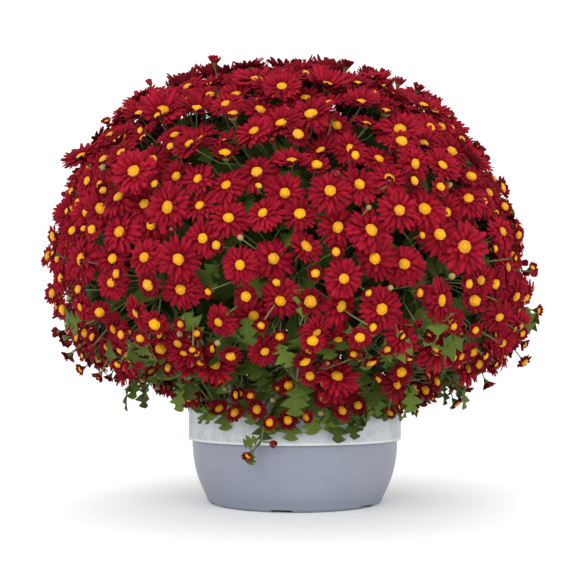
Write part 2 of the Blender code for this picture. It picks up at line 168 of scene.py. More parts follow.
def bezier(points: Sequence[Array], share: Array) -> Array:
    """Points on a cubic curve.

    Args:
        points: Its four control points.
        share: Places on it, from 0 to 1.

    Returns:
        One point for each place.
    """
    t = share[:, None]
    a, b, c, d = (np.asarray(point, dtype=float) for point in points)
    return a * (1 - t) ** 3 + b * 3 * t * (1 - t) ** 2 + c * 3 * t**2 * (1 - t) + d * t**3


# Shader building


class Wire:
    """One output socket, whose Python operators add Math nodes behind it."""

    def __init__(self, recipe: Recipe, socket: bpy.types.NodeSocket) -> None:
        """Keeps the socket and the recipe that it belongs to."""
        self.recipe = recipe
        self.socket = socket

    def math(self, operation: str, *values: Wire | float) -> Wire:
        """The result of a Math node with the given inputs."""
        return self.recipe.node("ShaderNodeMath", {"operation": operation}, dict(enumerate(values)))

    def __add__(self, other: Wire | float) -> Wire:
        """Sum."""
        return self.math("ADD", self, other)

    __radd__ = __add__

    def __sub__(self, other: Wire | float) -> Wire:
        """Difference."""
        return self.math("SUBTRACT", self, other)

    def __rsub__(self, other: Wire | float) -> Wire:
        """Difference, the other way round."""
        return self.math("SUBTRACT", other, self)

    def __mul__(self, other: Wire | float) -> Wire:
        """Product."""
        return self.math("MULTIPLY", self, other)

    __rmul__ = __mul__

    def __truediv__(self, other: Wire | float) -> Wire:
        """Quotient."""
        return self.math("DIVIDE", self, other)

    def __rtruediv__(self, other: Wire | float) -> Wire:
        """Quotient, the other way round."""
        return self.math("DIVIDE", other, self)

    def __pow__(self, other: float) -> Wire:
        """Power."""
        return self.math("POWER", self, other)

    def __abs__(self) -> Wire:
        """Size without sign."""
        return self.math("ABSOLUTE", self)

    def sine(self) -> Wire:
        """Sine of the value in radians."""
        return self.math("SINE", self)

    def fraction(self) -> Wire:
        """What is left after the whole number."""
        return self.math("FRACT", self)

    def between(self, low: float, high: float) -> Wire:
        """Rises smoothly from 0 at low to 1 at high."""
        settings = {"interpolation_type": "SMOOTHSTEP"}
        return self.recipe.node("ShaderNodeMapRange", settings, {0: self, 1: low, 2: high})

    def tent(self) -> Wire:
        """1 at a value of 0.5, down to 0 at 0 and at 1."""
        return 1.0 - abs(self - 0.5) * 2.0

    def larger(self, other: Wire) -> Wire:
        """The larger of two values."""
        return self.math("MAXIMUM", self, other)

    def meets(self, value: float, slack: float = 0.1) -> Wire:
        """1 within a slack of a value, else 0."""
        return self.math("COMPARE", self, value, slack)

    def sibling(self, output: str | int) -> Wire:
        """Another output of the same node."""
        return Wire(self.recipe, self.socket.node.outputs[output])


class Recipe:
    """A material under construction, with one Principled shader."""

    def __init__(self, name: str, **plain: object) -> None:
        """Starts the material.

        Args:
            name: The material's name.
            plain: Values for sockets of the shader, with _ for each space.
        """
        self.material = bpy.data.materials.new(name)
        self.material.use_nodes = True
        self.tree = self.material.node_tree
        self.shader = self.tree.nodes["Principled BSDF"]
        for key, value in plain.items():
            self.shader.inputs[key.replace("_", " ")].default_value = value

    def node(self, kind: str, settings: dict[str, object] | None = None,
             inputs: dict[str | int, object] | None = None, output: str | int = 0) -> Wire:
        """Adds a node.

        Args:
            kind: The node's type.
            settings: Properties of the node, or ramp stops under the key "stops".
            inputs: Values or links of its sockets, by name or number.
            output: The output that is wanted.

        Returns:
            That output.
        """
        made = self.tree.nodes.new(kind)
        for key, value in (settings or {}).items():
            if key == "stops":
                self._set_stops(made.color_ramp, value)
            else:
                setattr(made, key, value)
        for key, value in (inputs or {}).items():
            if isinstance(value, Wire):
                self.tree.links.new(value.socket, made.inputs[key])
            else:
                made.inputs[key].default_value = value
        return Wire(self, made.outputs[output])

    @staticmethod
    def _set_stops(ramp: bpy.types.ColorRamp, stops: Sequence[tuple[float, Colour]]) -> None:
        """Gives a ramp its stops.

        Args:
            ramp: The ramp.
            stops: Places from 0 to 1, each with its colour.
        """
        while len(ramp.elements) < len(stops):
            ramp.elements.new(1.0)
        for element, (place, colour) in zip(ramp.elements, stops):
            element.position = place
            element.color = (*colour, 1.0)

    def ramp(self, factor: Wire, stops: Sequence[tuple[float, Colour]]) -> Wire:
        """A colour that follows a value, by its stops from 0 to 1."""
        return self.node("ShaderNodeValToRGB", {"stops": stops}, {0: factor})

    def mix(self, factor: Wire | float, first: Wire | Colour, second: Wire | Colour) -> Wire:
        """Mixes two colours.

        Args:
            factor: The second colour's share.
            first: The first colour.
            second: The second colour.

        Returns:
            The mixed colour.
        """
        ends = [end if isinstance(end, Wire) else (*end, 1.0) for end in (first, second)]
        settings = {"data_type": "RGBA", "blend_type": "MIX", "clamp_factor": True}
        return self.node("ShaderNodeMix", settings, {0: factor, 6: ends[0], 7: ends[1]}, 2)

    def lit(self, colour: Wire, value: Wire, gain: Span) -> Wire:
        """A colour made brighter from the lesser to the greater gain as a value goes to 1."""
        factor = value * (gain[1] - gain[0]) + gain[0]
        return self.node("ShaderNodeHueSaturation", None, {"Value": factor, "Color": colour})

    def look(self) -> tuple[Wire, Wire, Wire, Wire]:
        """Reads the mesh's own marks.

        Returns:
            Along, girth, shade and sort, each from 0 to 1.
        """
        settings = {"attribute_type": "GEOMETRY", "attribute_name": LOOK}
        colour = self.node("ShaderNodeAttribute", settings, output="Color")
        along = self.node("ShaderNodeSeparateColor", None, {0: colour})
        return along, along.sibling(1), along.sibling(2), colour.sibling("Alpha")

    def place(self, scale: Point = (1.0, 1.0, 1.0)) -> Wire:
        """Object coordinates, stretched by factors for X, Y and Z."""
        here = self.node("ShaderNodeTexCoord", output="Object")
        return self.node("ShaderNodeMapping", None, {0: here, 3: scale})

    def noise(self, where: Wire, scale: float, detail: float = 3.0, rough: float = 0.55) -> Wire:
        """Cloudy noise around 0.5, with a scale in clouds to the metre."""
        inputs = {"Vector": where, "Scale": scale, "Detail": detail, "Roughness": rough}
        return self.node("ShaderNodeTexNoise", None, inputs)

    def bump(self, height: Wire, distance: float, strength: float) -> Wire:
        """A normal from a height, whose 1 stands for a distance in metres."""
        inputs = {"Height": height, "Distance": distance, "Strength": strength}
        return self.node("ShaderNodeBump", None, inputs)

    def done(self, **sockets: Wire) -> Material:
        """Links the shader and hands the material over.

        Args:
            sockets: Links for sockets of the shader, with _ for each space.

        Returns:
            The material.
        """
        for key, value in sockets.items():
            self.tree.links.new(value.socket, self.shader.inputs[key.replace("_", " ")])
        return self.material


# Finishes


@dataclass(frozen=True)
class PetalFinish:
    """Velvety red straps: dark at the foot, partly their own colour and partly painted shade round
    the disc; dark at the edges as painted shade between petals; brighter outwards, with a painted
    pinkish highlight at the ends; with pink backs.
    """

    # Dark at the foot: partly the petals' own base colour, partly painted shade round the disc.
    foot: Colour = (0.042, 0.0008, 0.0020)
    middle: Colour = (0.205, 0.0022, 0.0085)
    # Bright ends: partly the petals' own lighter tips, partly a painted pinkish highlight.
    end: Colour = (0.360, 0.0100, 0.0280)
    # Painted shade between petals: the dark colour that the edges turn to.
    edge: Colour = (0.120, 0.0018, 0.0060)
    back: Colour = (0.300, 0.0240, 0.0360)
    dark: Colour = (0.066, 0.0020, 0.0034)
    middle_at: float = 0.36
    end_from: float = 0.80
    # Painted shade between petals: where across the petal the edges darken, and by how much.
    edge_shade_girth: Span = (0.20, 0.92)
    edge_share: float = 0.50
    line_turn: float = 30.0
    line_share: float = 0.16
    line_depth: float = 0.00025
    back_girth: Span = (0.93, 1.0)
    back_share: float = 0.75
    dark_power: float = 1.6
    dark_share: float = 0.85
    gain: Span = (0.74, 1.08)

    def make(self) -> Material:
        """Builds the material.

        Returns:
            The petals' material.
        """
        recipe = Recipe("petal_red", Roughness=0.75, Specular_IOR_Level=0.03)
        along, girth, shade, sort = recipe.look()
        # The ramp starts dark at the foot, partly as painted shade round the disc.
        stops = ((0.0, self.foot), (self.middle_at, self.middle), (self.end_from, self.end),
                 (1.0, self.end))
        # The ramp ends bright, partly as a painted highlight.
        colour = recipe.ramp(along, stops)
        # Painted shade between petals: darker towards the edges.
        colour = recipe.mix(girth.between(*self.edge_shade_girth) * self.edge_share, colour, self.edge)
        lines = (girth * self.line_turn).sine() * 0.5 + 0.5
        colour = recipe.mix(lines * self.line_share, colour, self.foot)
        colour = recipe.mix(girth.between(*self.back_girth) * self.back_share, colour, self.back)
        colour = recipe.mix((1.0 - shade) ** self.dark_power * self.dark_share, colour, self.dark)
        colour = recipe.lit(colour, sort, self.gain)
        return recipe.done(Base_Color=colour, Normal=recipe.bump(lines, self.line_depth, 0.5))


@dataclass(frozen=True)
class DiscFinish:
    """Golden florets, darker between them as painted shade, and deeper towards the rim, partly the
    outer florets' own colour and partly painted shade where the petals meet the disc.
    """

    top: Colour = (0.720, 0.368, 0.0028)
    # Painted shade between the raised florets.
    between: Colour = (0.540, 0.200, 0.0020)
    # Rim colour: partly the outer florets' own deeper orange, partly painted shade where the petals
    # meet the disc.
    rim: Colour = (0.380, 0.100, 0.0040)
    unripe: Colour = (0.400, 0.200, 0.0300)
    rim_tone_and_shade_from: float = 0.86
    rim_tone_and_shade_share: float = 0.6
    floret_depth: float = 0.0004
    gain: Span = (0.90, 1.06)

    def make(self) -> Material:
        """Builds the material.

        Returns:
            The discs' material.
        """
        recipe = Recipe("disc_gold", Roughness=0.7, Specular_IOR_Level=0.15)
        radial, raised, shade, sort = recipe.look()
        # Painted shade: darker between the raised florets.
        colour = recipe.mix(raised, self.between, self.top)
        # Darker towards the rim: partly its own colour, partly painted shade.
        colour = recipe.mix(radial.between(self.rim_tone_and_shade_from, 1.0) * self.rim_tone_and_shade_share, colour, self.rim)
        colour = recipe.mix(1.0 - shade, colour, self.unripe)
        colour = recipe.lit(colour, sort, self.gain)
        return recipe.done(Base_Color=colour, Normal=recipe.bump(raised, self.floret_depth, 0.6))


@dataclass(frozen=True)
class GreenFinish:
    """Leaves with veins and paler undersides, stalks, cups and closed buds."""

    deep: Colour = (0.036, 0.057, 0.006)
    bright: Colour = (0.088, 0.134, 0.018)
    under: Colour = (0.120, 0.156, 0.046)
    vein: Colour = (0.130, 0.170, 0.036)
    stalk: Colour = (0.150, 0.170, 0.066)
    cup: Colour = (0.100, 0.115, 0.032)
    cup_edge: Colour = (0.300, 0.220, 0.100)
    bud: Colour = (0.330, 0.225, 0.085)
    vein_pairs: float = 6.0
    vein_slant: float = 1.3
    vein_from: float = 0.80
    vein_fade: float = 0.6
    vein_share: float = 0.5
    vein_depth: float = 0.0006
    midrib_width: float = 0.12
    under_girth: Span = (0.48, 0.56)
    under_share: float = 0.9
    cup_edge_from: float = 0.55
    gain: Span = (0.75, 1.10)

    def make(self) -> Material:
        """Builds the material.

        Returns:
            The material of all that is green, and of the closed buds.
        """
        recipe = Recipe("foliage_green", Roughness=0.60, Specular_IOR_Level=0.10)
        along, girth, shade, sort = recipe.look()
        across = girth.tent()
        pair = (along * self.vein_pairs - across * self.vein_slant).fraction()
        lines = pair.tent().between(self.vein_from, 1.0) * (1.0 - across * self.vein_fade)
        veins = lines.larger(1.0 - across.between(0.0, self.midrib_width))
        leaf = recipe.mix(shade, self.deep, self.bright)
        leaf = recipe.mix(veins * self.vein_share, leaf, self.vein)
        leaf = recipe.mix(girth.between(*self.under_girth) * self.under_share, leaf, self.under)
        cup = recipe.mix(along.between(self.cup_edge_from, 1.0), self.cup, self.cup_edge)
        colour = self.stalk
        for kind, own in ((Green.CUP, cup), (Green.LEAF, leaf), (Green.BUD, self.bud)):
            colour = recipe.mix(sort.meets(kind.mark), colour, own)
        colour = recipe.lit(colour, shade, self.gain)
        return recipe.done(Base_Color=colour, Normal=recipe.bump(1.0 - veins, self.vein_depth, 0.6))


@dataclass(frozen=True)
class PotFinish:
    """Moulded grey-blue plastic with a pale, weathered and scratched band."""

    body: Colour = (0.205, 0.228, 0.282)
    body_worn: Colour = (0.270, 0.285, 0.325)
    # Darker colour that the body turns to towards the bottom.
    bottom_dark: Colour = (0.150, 0.178, 0.222)
    band: Colour = (0.470, 0.505, 0.520)
    band_stain: Colour = (0.255, 0.300, 0.330)
    edge: Colour = (0.600, 0.630, 0.640)
    band_from: float = 0.0752
    band_blend: float = 0.0004
    edge_to: float = 0.0785
    edge_blend: float = 0.0012
    edge_share: float = 0.75
    cloud_scale: float = 14.0
    cloud_share: float = 0.35
    level_stretch: Point = (30.0, 30.0, 900.0)
    level_share: float = 0.22
    bottom_dark_to: float = 0.026
    bottom_dark_share: float = 0.60
    stain_scale: float = 55.0
    stain_share: float = 0.42
    scratch_stretch: Point = (900.0, 260.0, 160.0)
    scratch_share: float = 0.30
    speck_scale: float = 420.0
    relief_depth: float = 0.0003

    def make(self) -> Material:
        """Builds the material.

        Returns:
            The pot's material.
        """
        recipe = Recipe("pot_plastic", Specular_IOR_Level=0.4)
        here = recipe.place()
        height = recipe.node("ShaderNodeSeparateXYZ", None, {0: here}, 2)
        cloud = recipe.noise(here, self.cloud_scale, 4.0)
        speck = recipe.noise(here, self.speck_scale, 2.0)
        level = recipe.noise(recipe.place(self.level_stretch), 1.0)
        slant = recipe.noise(recipe.place(self.scratch_stretch), 1.0, 2.0)
        body = recipe.mix(cloud.between(0.40, 0.68) * self.cloud_share, self.body, self.body_worn)
        body = recipe.mix(level.between(0.56, 0.70) * self.level_share, body, self.body_worn)
        # The body turns darker towards the bottom.
        low = 1.0 - height.between(0.0, self.bottom_dark_to)
        body = recipe.mix(low * self.bottom_dark_share, body, self.bottom_dark)
        stain = recipe.noise(here, self.stain_scale, 5.0, 0.7).between(0.42, 0.66)
        scratch = slant.between(0.55, 0.66) * 0.55 + speck.between(0.52, 0.66) * 0.45
        dirt = stain * self.stain_share + scratch * self.scratch_share
        band = recipe.mix(dirt, self.band, self.band_stain)
        worn = 1.0 - height.between(self.edge_to - self.edge_blend, self.edge_to)
        band = recipe.mix(worn * self.edge_share, band, self.edge)
        on_band = height.between(self.band_from, self.band_from + self.band_blend)
        colour = recipe.mix(on_band, body, band)
        rough = on_band * 0.18 + cloud * 0.10 + 0.40
        relief = recipe.bump(speck * 0.4 + slant * on_band * 0.6, self.relief_depth, 0.35)
        return recipe.done(Base_Color=colour, Roughness=rough, Normal=relief)


@dataclass(frozen=True)
class SoilFinish:
    """Dark crumbly compost with paler fibres."""

    deep: Colour = (0.012, 0.008, 0.005)
    dry: Colour = (0.075, 0.048, 0.028)
    fibre: Colour = (0.170, 0.115, 0.065)
    crumb_scale: float = 260.0
    crumb_depth: float = 0.002
    fibre_stretch: Point = (700.0, 180.0, 400.0)
    fibre_share: float = 0.7

    def make(self) -> Material:
        """Builds the material.

        Returns:
            The soil's material.
        """
        recipe = Recipe("soil_brown", Roughness=0.95)
        crumb = recipe.noise(recipe.place(), self.crumb_scale, 5.0, 0.7)
        strand = recipe.noise(recipe.place(self.fibre_stretch), 1.0, 2.0)
        colour = recipe.mix(crumb.between(0.38, 0.66), self.deep, self.dry)
        colour = recipe.mix(strand.between(0.63, 0.70) * self.fibre_share, colour, self.fibre)
        return recipe.done(Base_Color=colour, Normal=recipe.bump(crumb, self.crumb_depth, 0.8))


@dataclass(frozen=True)
class FloorFinish:
    """Pale studio floor."""

    colour: Colour = (0.93, 0.93, 0.93)
    shade: Colour = (0.91, 0.91, 0.91)
    cloud_scale: float = 3.0

    def make(self) -> Material:
        """Builds the material.

        Returns:
            The floor's material.
        """
        recipe = Recipe("studio_floor", Roughness=0.8)
        cloud = recipe.noise(recipe.place(), self.cloud_scale, 2.0)
        return recipe.done(Base_Color=recipe.mix(cloud, self.colour, self.shade))


# Modelling


@dataclass
class Form:
    """A modelled shape as arrays: points, triangles, marks along and across it, and sorts."""

    points: Array
    faces: Array
    marks: Array
    sorts: Array

    @staticmethod
    def joined(forms: Sequence[Form]) -> Form:
        """Puts several forms together.

        Args:
            forms: The forms.

        Returns:
            One form with all their faces.
        """
        starts = np.cumsum([0] + [len(form.points) for form in forms[:-1]])
        return Form(
            np.concatenate([form.points for form in forms]),
            np.concatenate([form.faces + start for form, start in zip(forms, starts)]),
            np.concatenate([form.marks for form in forms]),
            np.concatenate([form.sorts for form in forms]),
        )


class Bench:
    """One primitive, shaped in edit mode with Blender's own operators."""

    def __init__(self, add: Callable[..., object], **settings: object) -> None:
        """Adds the primitive and goes into edit mode, with all of it selected.

        Args:
            add: The operator that adds it.
            settings: The operator's settings.
        """
        self.clear()
        add(**settings)
        self.made = bpy.context.active_object
        bpy.ops.object.transform_apply(location=True, rotation=True, scale=True)
        bpy.ops.object.mode_set(mode="EDIT")
        bpy.ops.mesh.select_mode(type="VERT")
        bpy.ops.mesh.select_all(action="SELECT")

    @staticmethod
    def clear() -> None:
        """Leaves edit mode and deselects everything."""
        if bpy.context.mode != "OBJECT":
            bpy.ops.object.mode_set(mode="OBJECT")
        bpy.ops.object.select_all(action="DESELECT")

    @staticmethod
    def take(thing: Thing) -> None:
        """Makes one object the selected and active one.

        Args:
            thing: The object.
        """
        Bench.clear()
        thing.select_set(True)
        bpy.context.view_layer.objects.active = thing

    def pick(self, test: Callable[[Vector], bool]) -> None:
        """Selects by place.

        Args:
            test: Says whether a vertex at a place is wanted.
        """
        bpy.ops.mesh.select_all(action="DESELECT")
        work = bmesh.from_edit_mesh(self.made.data)
        for vertex in work.verts:
            vertex.select = test(vertex.co)
        work.select_flush(True)
        bmesh.update_edit_mesh(self.made.data)

    def move(self, x: float = 0.0, y: float = 0.0, z: float = 0.0) -> None:
        """Moves what is selected."""
        bpy.ops.transform.translate(value=(x, y, z))

    def scale(self, x: float, y: float, z: float, centre: Sequence[float] = (0, 0, 0)) -> None:
        """Scales what is selected about a centre."""
        bpy.ops.transform.resize(value=(x, y, z), center_override=tuple(centre))

    def extrude(self, x: float = 0.0, y: float = 0.0, z: float = 0.0) -> None:
        """Extrudes what is selected."""
        bpy.ops.mesh.extrude_region_move(TRANSFORM_OT_translate={"value": (x, y, z)})

    def close(self) -> Thing:
        """Turns the faces outwards and leaves edit mode.

        Returns:
            The object.
        """
        bpy.ops.mesh.select_all(action="SELECT")
        bpy.ops.mesh.remove_doubles(threshold=1e-7)
        bpy.ops.mesh.normals_make_consistent(inside=False)
        bpy.ops.object.mode_set(mode="OBJECT")
        return self.made

    def modify(self, kind: str, **settings: object) -> None:
        """Adds a modifier and applies it.

        Args:
            kind: The modifier's type.
            settings: Its settings.
        """
        modifier = self.made.modifiers.new(kind.lower(), kind)
        for key, value in settings.items():
            setattr(modifier, key, value)
        bpy.ops.object.modifier_apply(modifier=modifier.name)

    def form(self, marks: Callable[[Array], Array]) -> Form:
        """Takes the shape away as triangles and removes the object.

        Args:
            marks: Works out the marks along and across the shape from its points.

        Returns:
            The form.
        """
        if bpy.context.mode != "OBJECT":
            self.close()
        work = bmesh.new()
        work.from_mesh(self.made.data)
        bmesh.ops.triangulate(work, faces=work.faces)
        work.verts.index_update()
        points = np.array([vertex.co for vertex in work.verts], dtype=float)
        faces = np.array([[vertex.index for vertex in face.verts] for face in work.faces])
        work.free()
        bpy.data.objects.remove(self.made)
        return Form(points, faces, marks(points), np.zeros(len(points)))


def turned(profile: Sequence[Span], segments: int) -> Bench:
    """Models a round shape by extruding a disc from one radius and height to the next.

    Args:
        profile: The radii and heights.
        segments: The points round it.

    Returns:
        The bench with the shape on it, still in edit mode.
    """
    radius, height = profile[0]
    bench = Bench(bpy.ops.mesh.primitive_circle_add, vertices=segments, radius=radius,
                  fill_type="NGON", location=(0.0, 0.0, height))
    for next_radius, next_height in profile[1:]:
        bench.extrude(z=next_height - height)
        ratio = next_radius / radius
        bench.scale(ratio, ratio, 1.0, (0.0, 0.0, next_height))
        radius, height = next_radius, next_height
    return bench


@dataclass
class Limits:
    """The CAD model's box, which nothing leaves by more than a hair."""

    box: Sequence[Sequence[float]]
    slack: float = 0.001
    tries: int = 14
    shrink: float = 0.94

    def __post_init__(self) -> None:
        """Works out the lowest and highest corners, with no slack below the floor."""
        self.low = np.array(self.box[0]) - self.slack
        self.low[2] = self.box[0][2]
        self.high = np.array(self.box[1]) + self.slack

    def hold(self, points: Array, root: Array) -> Array:
        """Draws a shape in towards its root until it is inside.

        Args:
            points: The shape's points.
            root: What it is drawn in towards.

        Returns:
            The points.
        """
        for _ in range(self.tries):
            if (points >= self.low).all() and (points <= self.high).all():
                return points
            points = root + (points - root) * self.shrink
        return np.clip(points, self.low, self.high)


LIMITS = Limits(CAD_BOX)


@dataclass
class Batch:
    """Copies of forms, gathered into one mesh with its marks and its bake map."""

    name: str
    material: Material
    slot: Slot
    sharp: float = 38.0
    cell_margins: Span = (0.04, 0.06)
    points: list[Array] = field(default_factory=list)
    faces: list[Array] = field(default_factory=list)
    looks: list[Array] = field(default_factory=list)
    count: int = 0

    def add(self, form: Form, points: Array, shade: float, sort: float | None = None) -> None:
        """Adds one copy.

        Args:
            form: The form that is copied.
            points: Its points in their place.
            shade: The copy's shade, from 0 to 1.
            sort: The copy's sort from 0 to 1, or None for the form's own sorts.
        """
        look = np.empty((len(points), 4))
        look[:, :2] = form.marks
        look[:, 2] = round(clipped(shade) * (SHADES - 1)) / (SHADES - 1)
        look[:, 3] = form.sorts if sort is None else sort
        self.points.append(points)
        self.faces.append(form.faces + self.count)
        self.looks.append(look)
        self.count += len(points)

    def build(self, *replaced: str) -> None:
        """Makes the piece, unless it is empty.

        Args:
            replaced: The CAD nodes that it stands for.
        """
        if not self.points:
            return
        points = np.concatenate(self.points)
        faces = np.concatenate(self.faces)
        look = np.concatenate(self.looks)
        mesh = bpy.data.meshes.new(self.name)
        mesh.vertices.add(len(points))
        mesh.vertices.foreach_set("co", points.astype(np.float32).ravel())
        mesh.loops.add(faces.size)
        mesh.loops.foreach_set("vertex_index", faces.astype(np.int32).ravel())
        mesh.polygons.add(len(faces))
        mesh.polygons.foreach_set("loop_start", np.arange(0, faces.size, 3, dtype=np.int32))
        mesh.update(calc_edges=True)
        mesh.attributes.new(LOOK, "FLOAT_COLOR", "POINT")
        mesh.attributes[LOOK].data.foreach_set("color", look.astype(np.float32).ravel())
        side, foot = self.cell_margins
        column = np.round(look[:, 3] * (SORTS - 1))
        row = np.round(look[:, 2] * (SHADES - 1))
        u = (column + side + (1.0 - 2 * side) * look[:, 0]) / SORTS
        v = (row + foot + (1.0 - 2 * foot) * look[:, 1]) / SHADES
        places = columns(u, v)[faces.ravel()]
        layer = mesh.uv_layers.new(name=BAKE_MAP)
        layer.data.foreach_set("uv", places.astype(np.float32).ravel())
        thing = bpy.data.objects.new(self.name, mesh)
        bpy.context.scene.collection.objects.link(thing)
        finish_piece(thing, self.material, self.slot, replaced, self.sharp)


def finish_piece(thing: Thing, material: Material, slot: Slot,
                 replaced: Iterable[str], sharp: float) -> None:
    """Shades a piece, dresses it, ties it to the frame and reports it.

    Args:
        thing: The piece.
        material: Its material.
        slot: Not used.
        replaced: The CAD nodes that it stands for.
        sharp: The angle past which an edge stays sharp, in degrees.
    """
    Bench.take(thing)
    bpy.ops.object.shade_smooth_by_angle(angle=math.radians(sharp))
    thing.data.materials.clear()
    thing.data.materials.append(material)
    thing.data.name = thing.name
    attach(thing, BODY)
    if replaced:
        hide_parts(*replaced)
    count = sum(len(face.vertices) - 2 for face in thing.data.polygons)
    log.info("%s: %d triangles", thing.name, count)


# Parts of the plant, each modelled once


@dataclass
class PetalModel:
    """One strap petal of length 1 and half width 1, with a ridge along it."""

    stations: tuple[Span, ...]
    ridge: float = 0.42

    def form(self) -> Form:
        """Models the petal by extruding its section from station to station.

        Returns:
            The petal.
        """
        bench = Bench(bpy.ops.mesh.primitive_circle_add, vertices=4, radius=1.0,
                      fill_type="NGON", rotation=(0.0, math.pi / 2, 0.0))
        bench.pick(lambda co: co.z > 0.5)
        bench.move(z=self.ridge - 1.0)
        bench.pick(lambda co: co.z < -0.5)
        bpy.ops.mesh.dissolve_verts()
        bpy.ops.mesh.select_all(action="SELECT")
        place, width = self.stations[0]
        bench.scale(1.0, width, width)
        for next_place, next_width in self.stations[1:]:
            bench.extrude(x=next_place - place)
            ratio = next_width / width
            bench.scale(1.0, ratio, ratio, (next_place, 0.0, 0.0))
            place, width = next_place, next_width
        return bench.form(self._marks)

    def _marks(self, points: Array) -> Array:
        """Marks from foot to end, and from the ridge to the edges."""
        girth = np.where(np.abs(points[:, 1]) > 1e-4, 1.0, 0.0)
        return columns(np.clip(points[:, 0], 0, 1), girth)


@dataclass(frozen=True)
class PetalRing:
    """One ring of petals: how many, their reach in radii, and their lift and curl in degrees."""

    count: int
    reach: float
    half_width: float
    lift: float
    curl: float
    fine: bool = False


@dataclass(frozen=True)
class BloomPlan:
    """A bloom at one stage, in metres: a disc's radius, height and base, a cup's, depth and top."""

    radius: float
    foot: float
    disc: Point | None
    cup: Point
    variants: int
    rings: tuple[PetalRing, ...] = ()


PLANS: dict[Stage, BloomPlan] = {
    Stage.OPEN: BloomPlan(
        radius=0.0230, foot=0.14, disc=(0.0058, 0.0027, 0.0012), cup=(0.0052, 0.0050, -0.0010),
        variants=9, rings=(
            PetalRing(22, 1.00, 0.00268, 3.0, 26.0, fine=True),
            PetalRing(19, 0.94, 0.00262, 12.0, 30.0),
            PetalRing(15, 0.80, 0.00238, 26.0, 36.0),
            PetalRing(10, 0.60, 0.00204, 44.0, 40.0),
        ),
    ),
    Stage.UNDER: BloomPlan(
        radius=0.0216, foot=0.14, disc=(0.0056, 0.0026, 0.0011), cup=(0.0052, 0.0050, -0.0010),
        variants=6, rings=(
            PetalRing(19, 1.00, 0.00270, 6.0, 28.0),
            PetalRing(15, 0.84, 0.00245, 20.0, 34.0),
            PetalRing(7, 0.62, 0.00228, 40.0, 40.0),
        ),
    ),
    Stage.YOUNG: BloomPlan(
        radius=0.0118, foot=0.26, disc=(0.0051, 0.0028, 0.0016), cup=(0.0048, 0.0055, -0.0006),
        variants=6, rings=(
            PetalRing(14, 1.00, 0.00235, 28.0, 26.0),
            PetalRing(10, 0.82, 0.00210, 46.0, 26.0),
        ),
    ),
    Stage.OPENING: BloomPlan(
        radius=0.0098, foot=0.36, disc=(0.0042, 0.0024, 0.0014), cup=(0.0040, 0.0054, 0.0004),
        variants=6, rings=(
            PetalRing(11, 1.00, 0.00225, 56.0, 8.0),
            PetalRing(8, 0.84, 0.00195, 70.0, 8.0),
        ),
    ),
    Stage.COLOURED_BUD: BloomPlan(
        radius=0.0098, foot=0.33, disc=(0.0024, 0.0016, 0.0010), cup=(0.0036, 0.0048, 0.0012),
        variants=4, rings=(PetalRing(10, 1.00, 0.00190, 80.0, -26.0),),
    ),
    Stage.GREEN_BUD: BloomPlan(
        radius=0.0031, foot=0.0, disc=None, cup=(0.0031, 0.0037, 0.0012), variants=3,
    ),
}

FINE_PETAL = PetalModel(((0.0, 0.46), (0.42, 0.96), (0.84, 0.92), (1.0, 0.44)))
PLAIN_PETAL = PetalModel(((0.0, 0.50), (0.66, 1.0), (1.0, 0.52)))


@dataclass
class BloomForm:
    """One variant of a bloom: its petals, disc and cup about the origin, facing up."""

    petals: Form | None
    disc: Form | None
    cup: Form
    ball: Form | None
    plan: BloomPlan


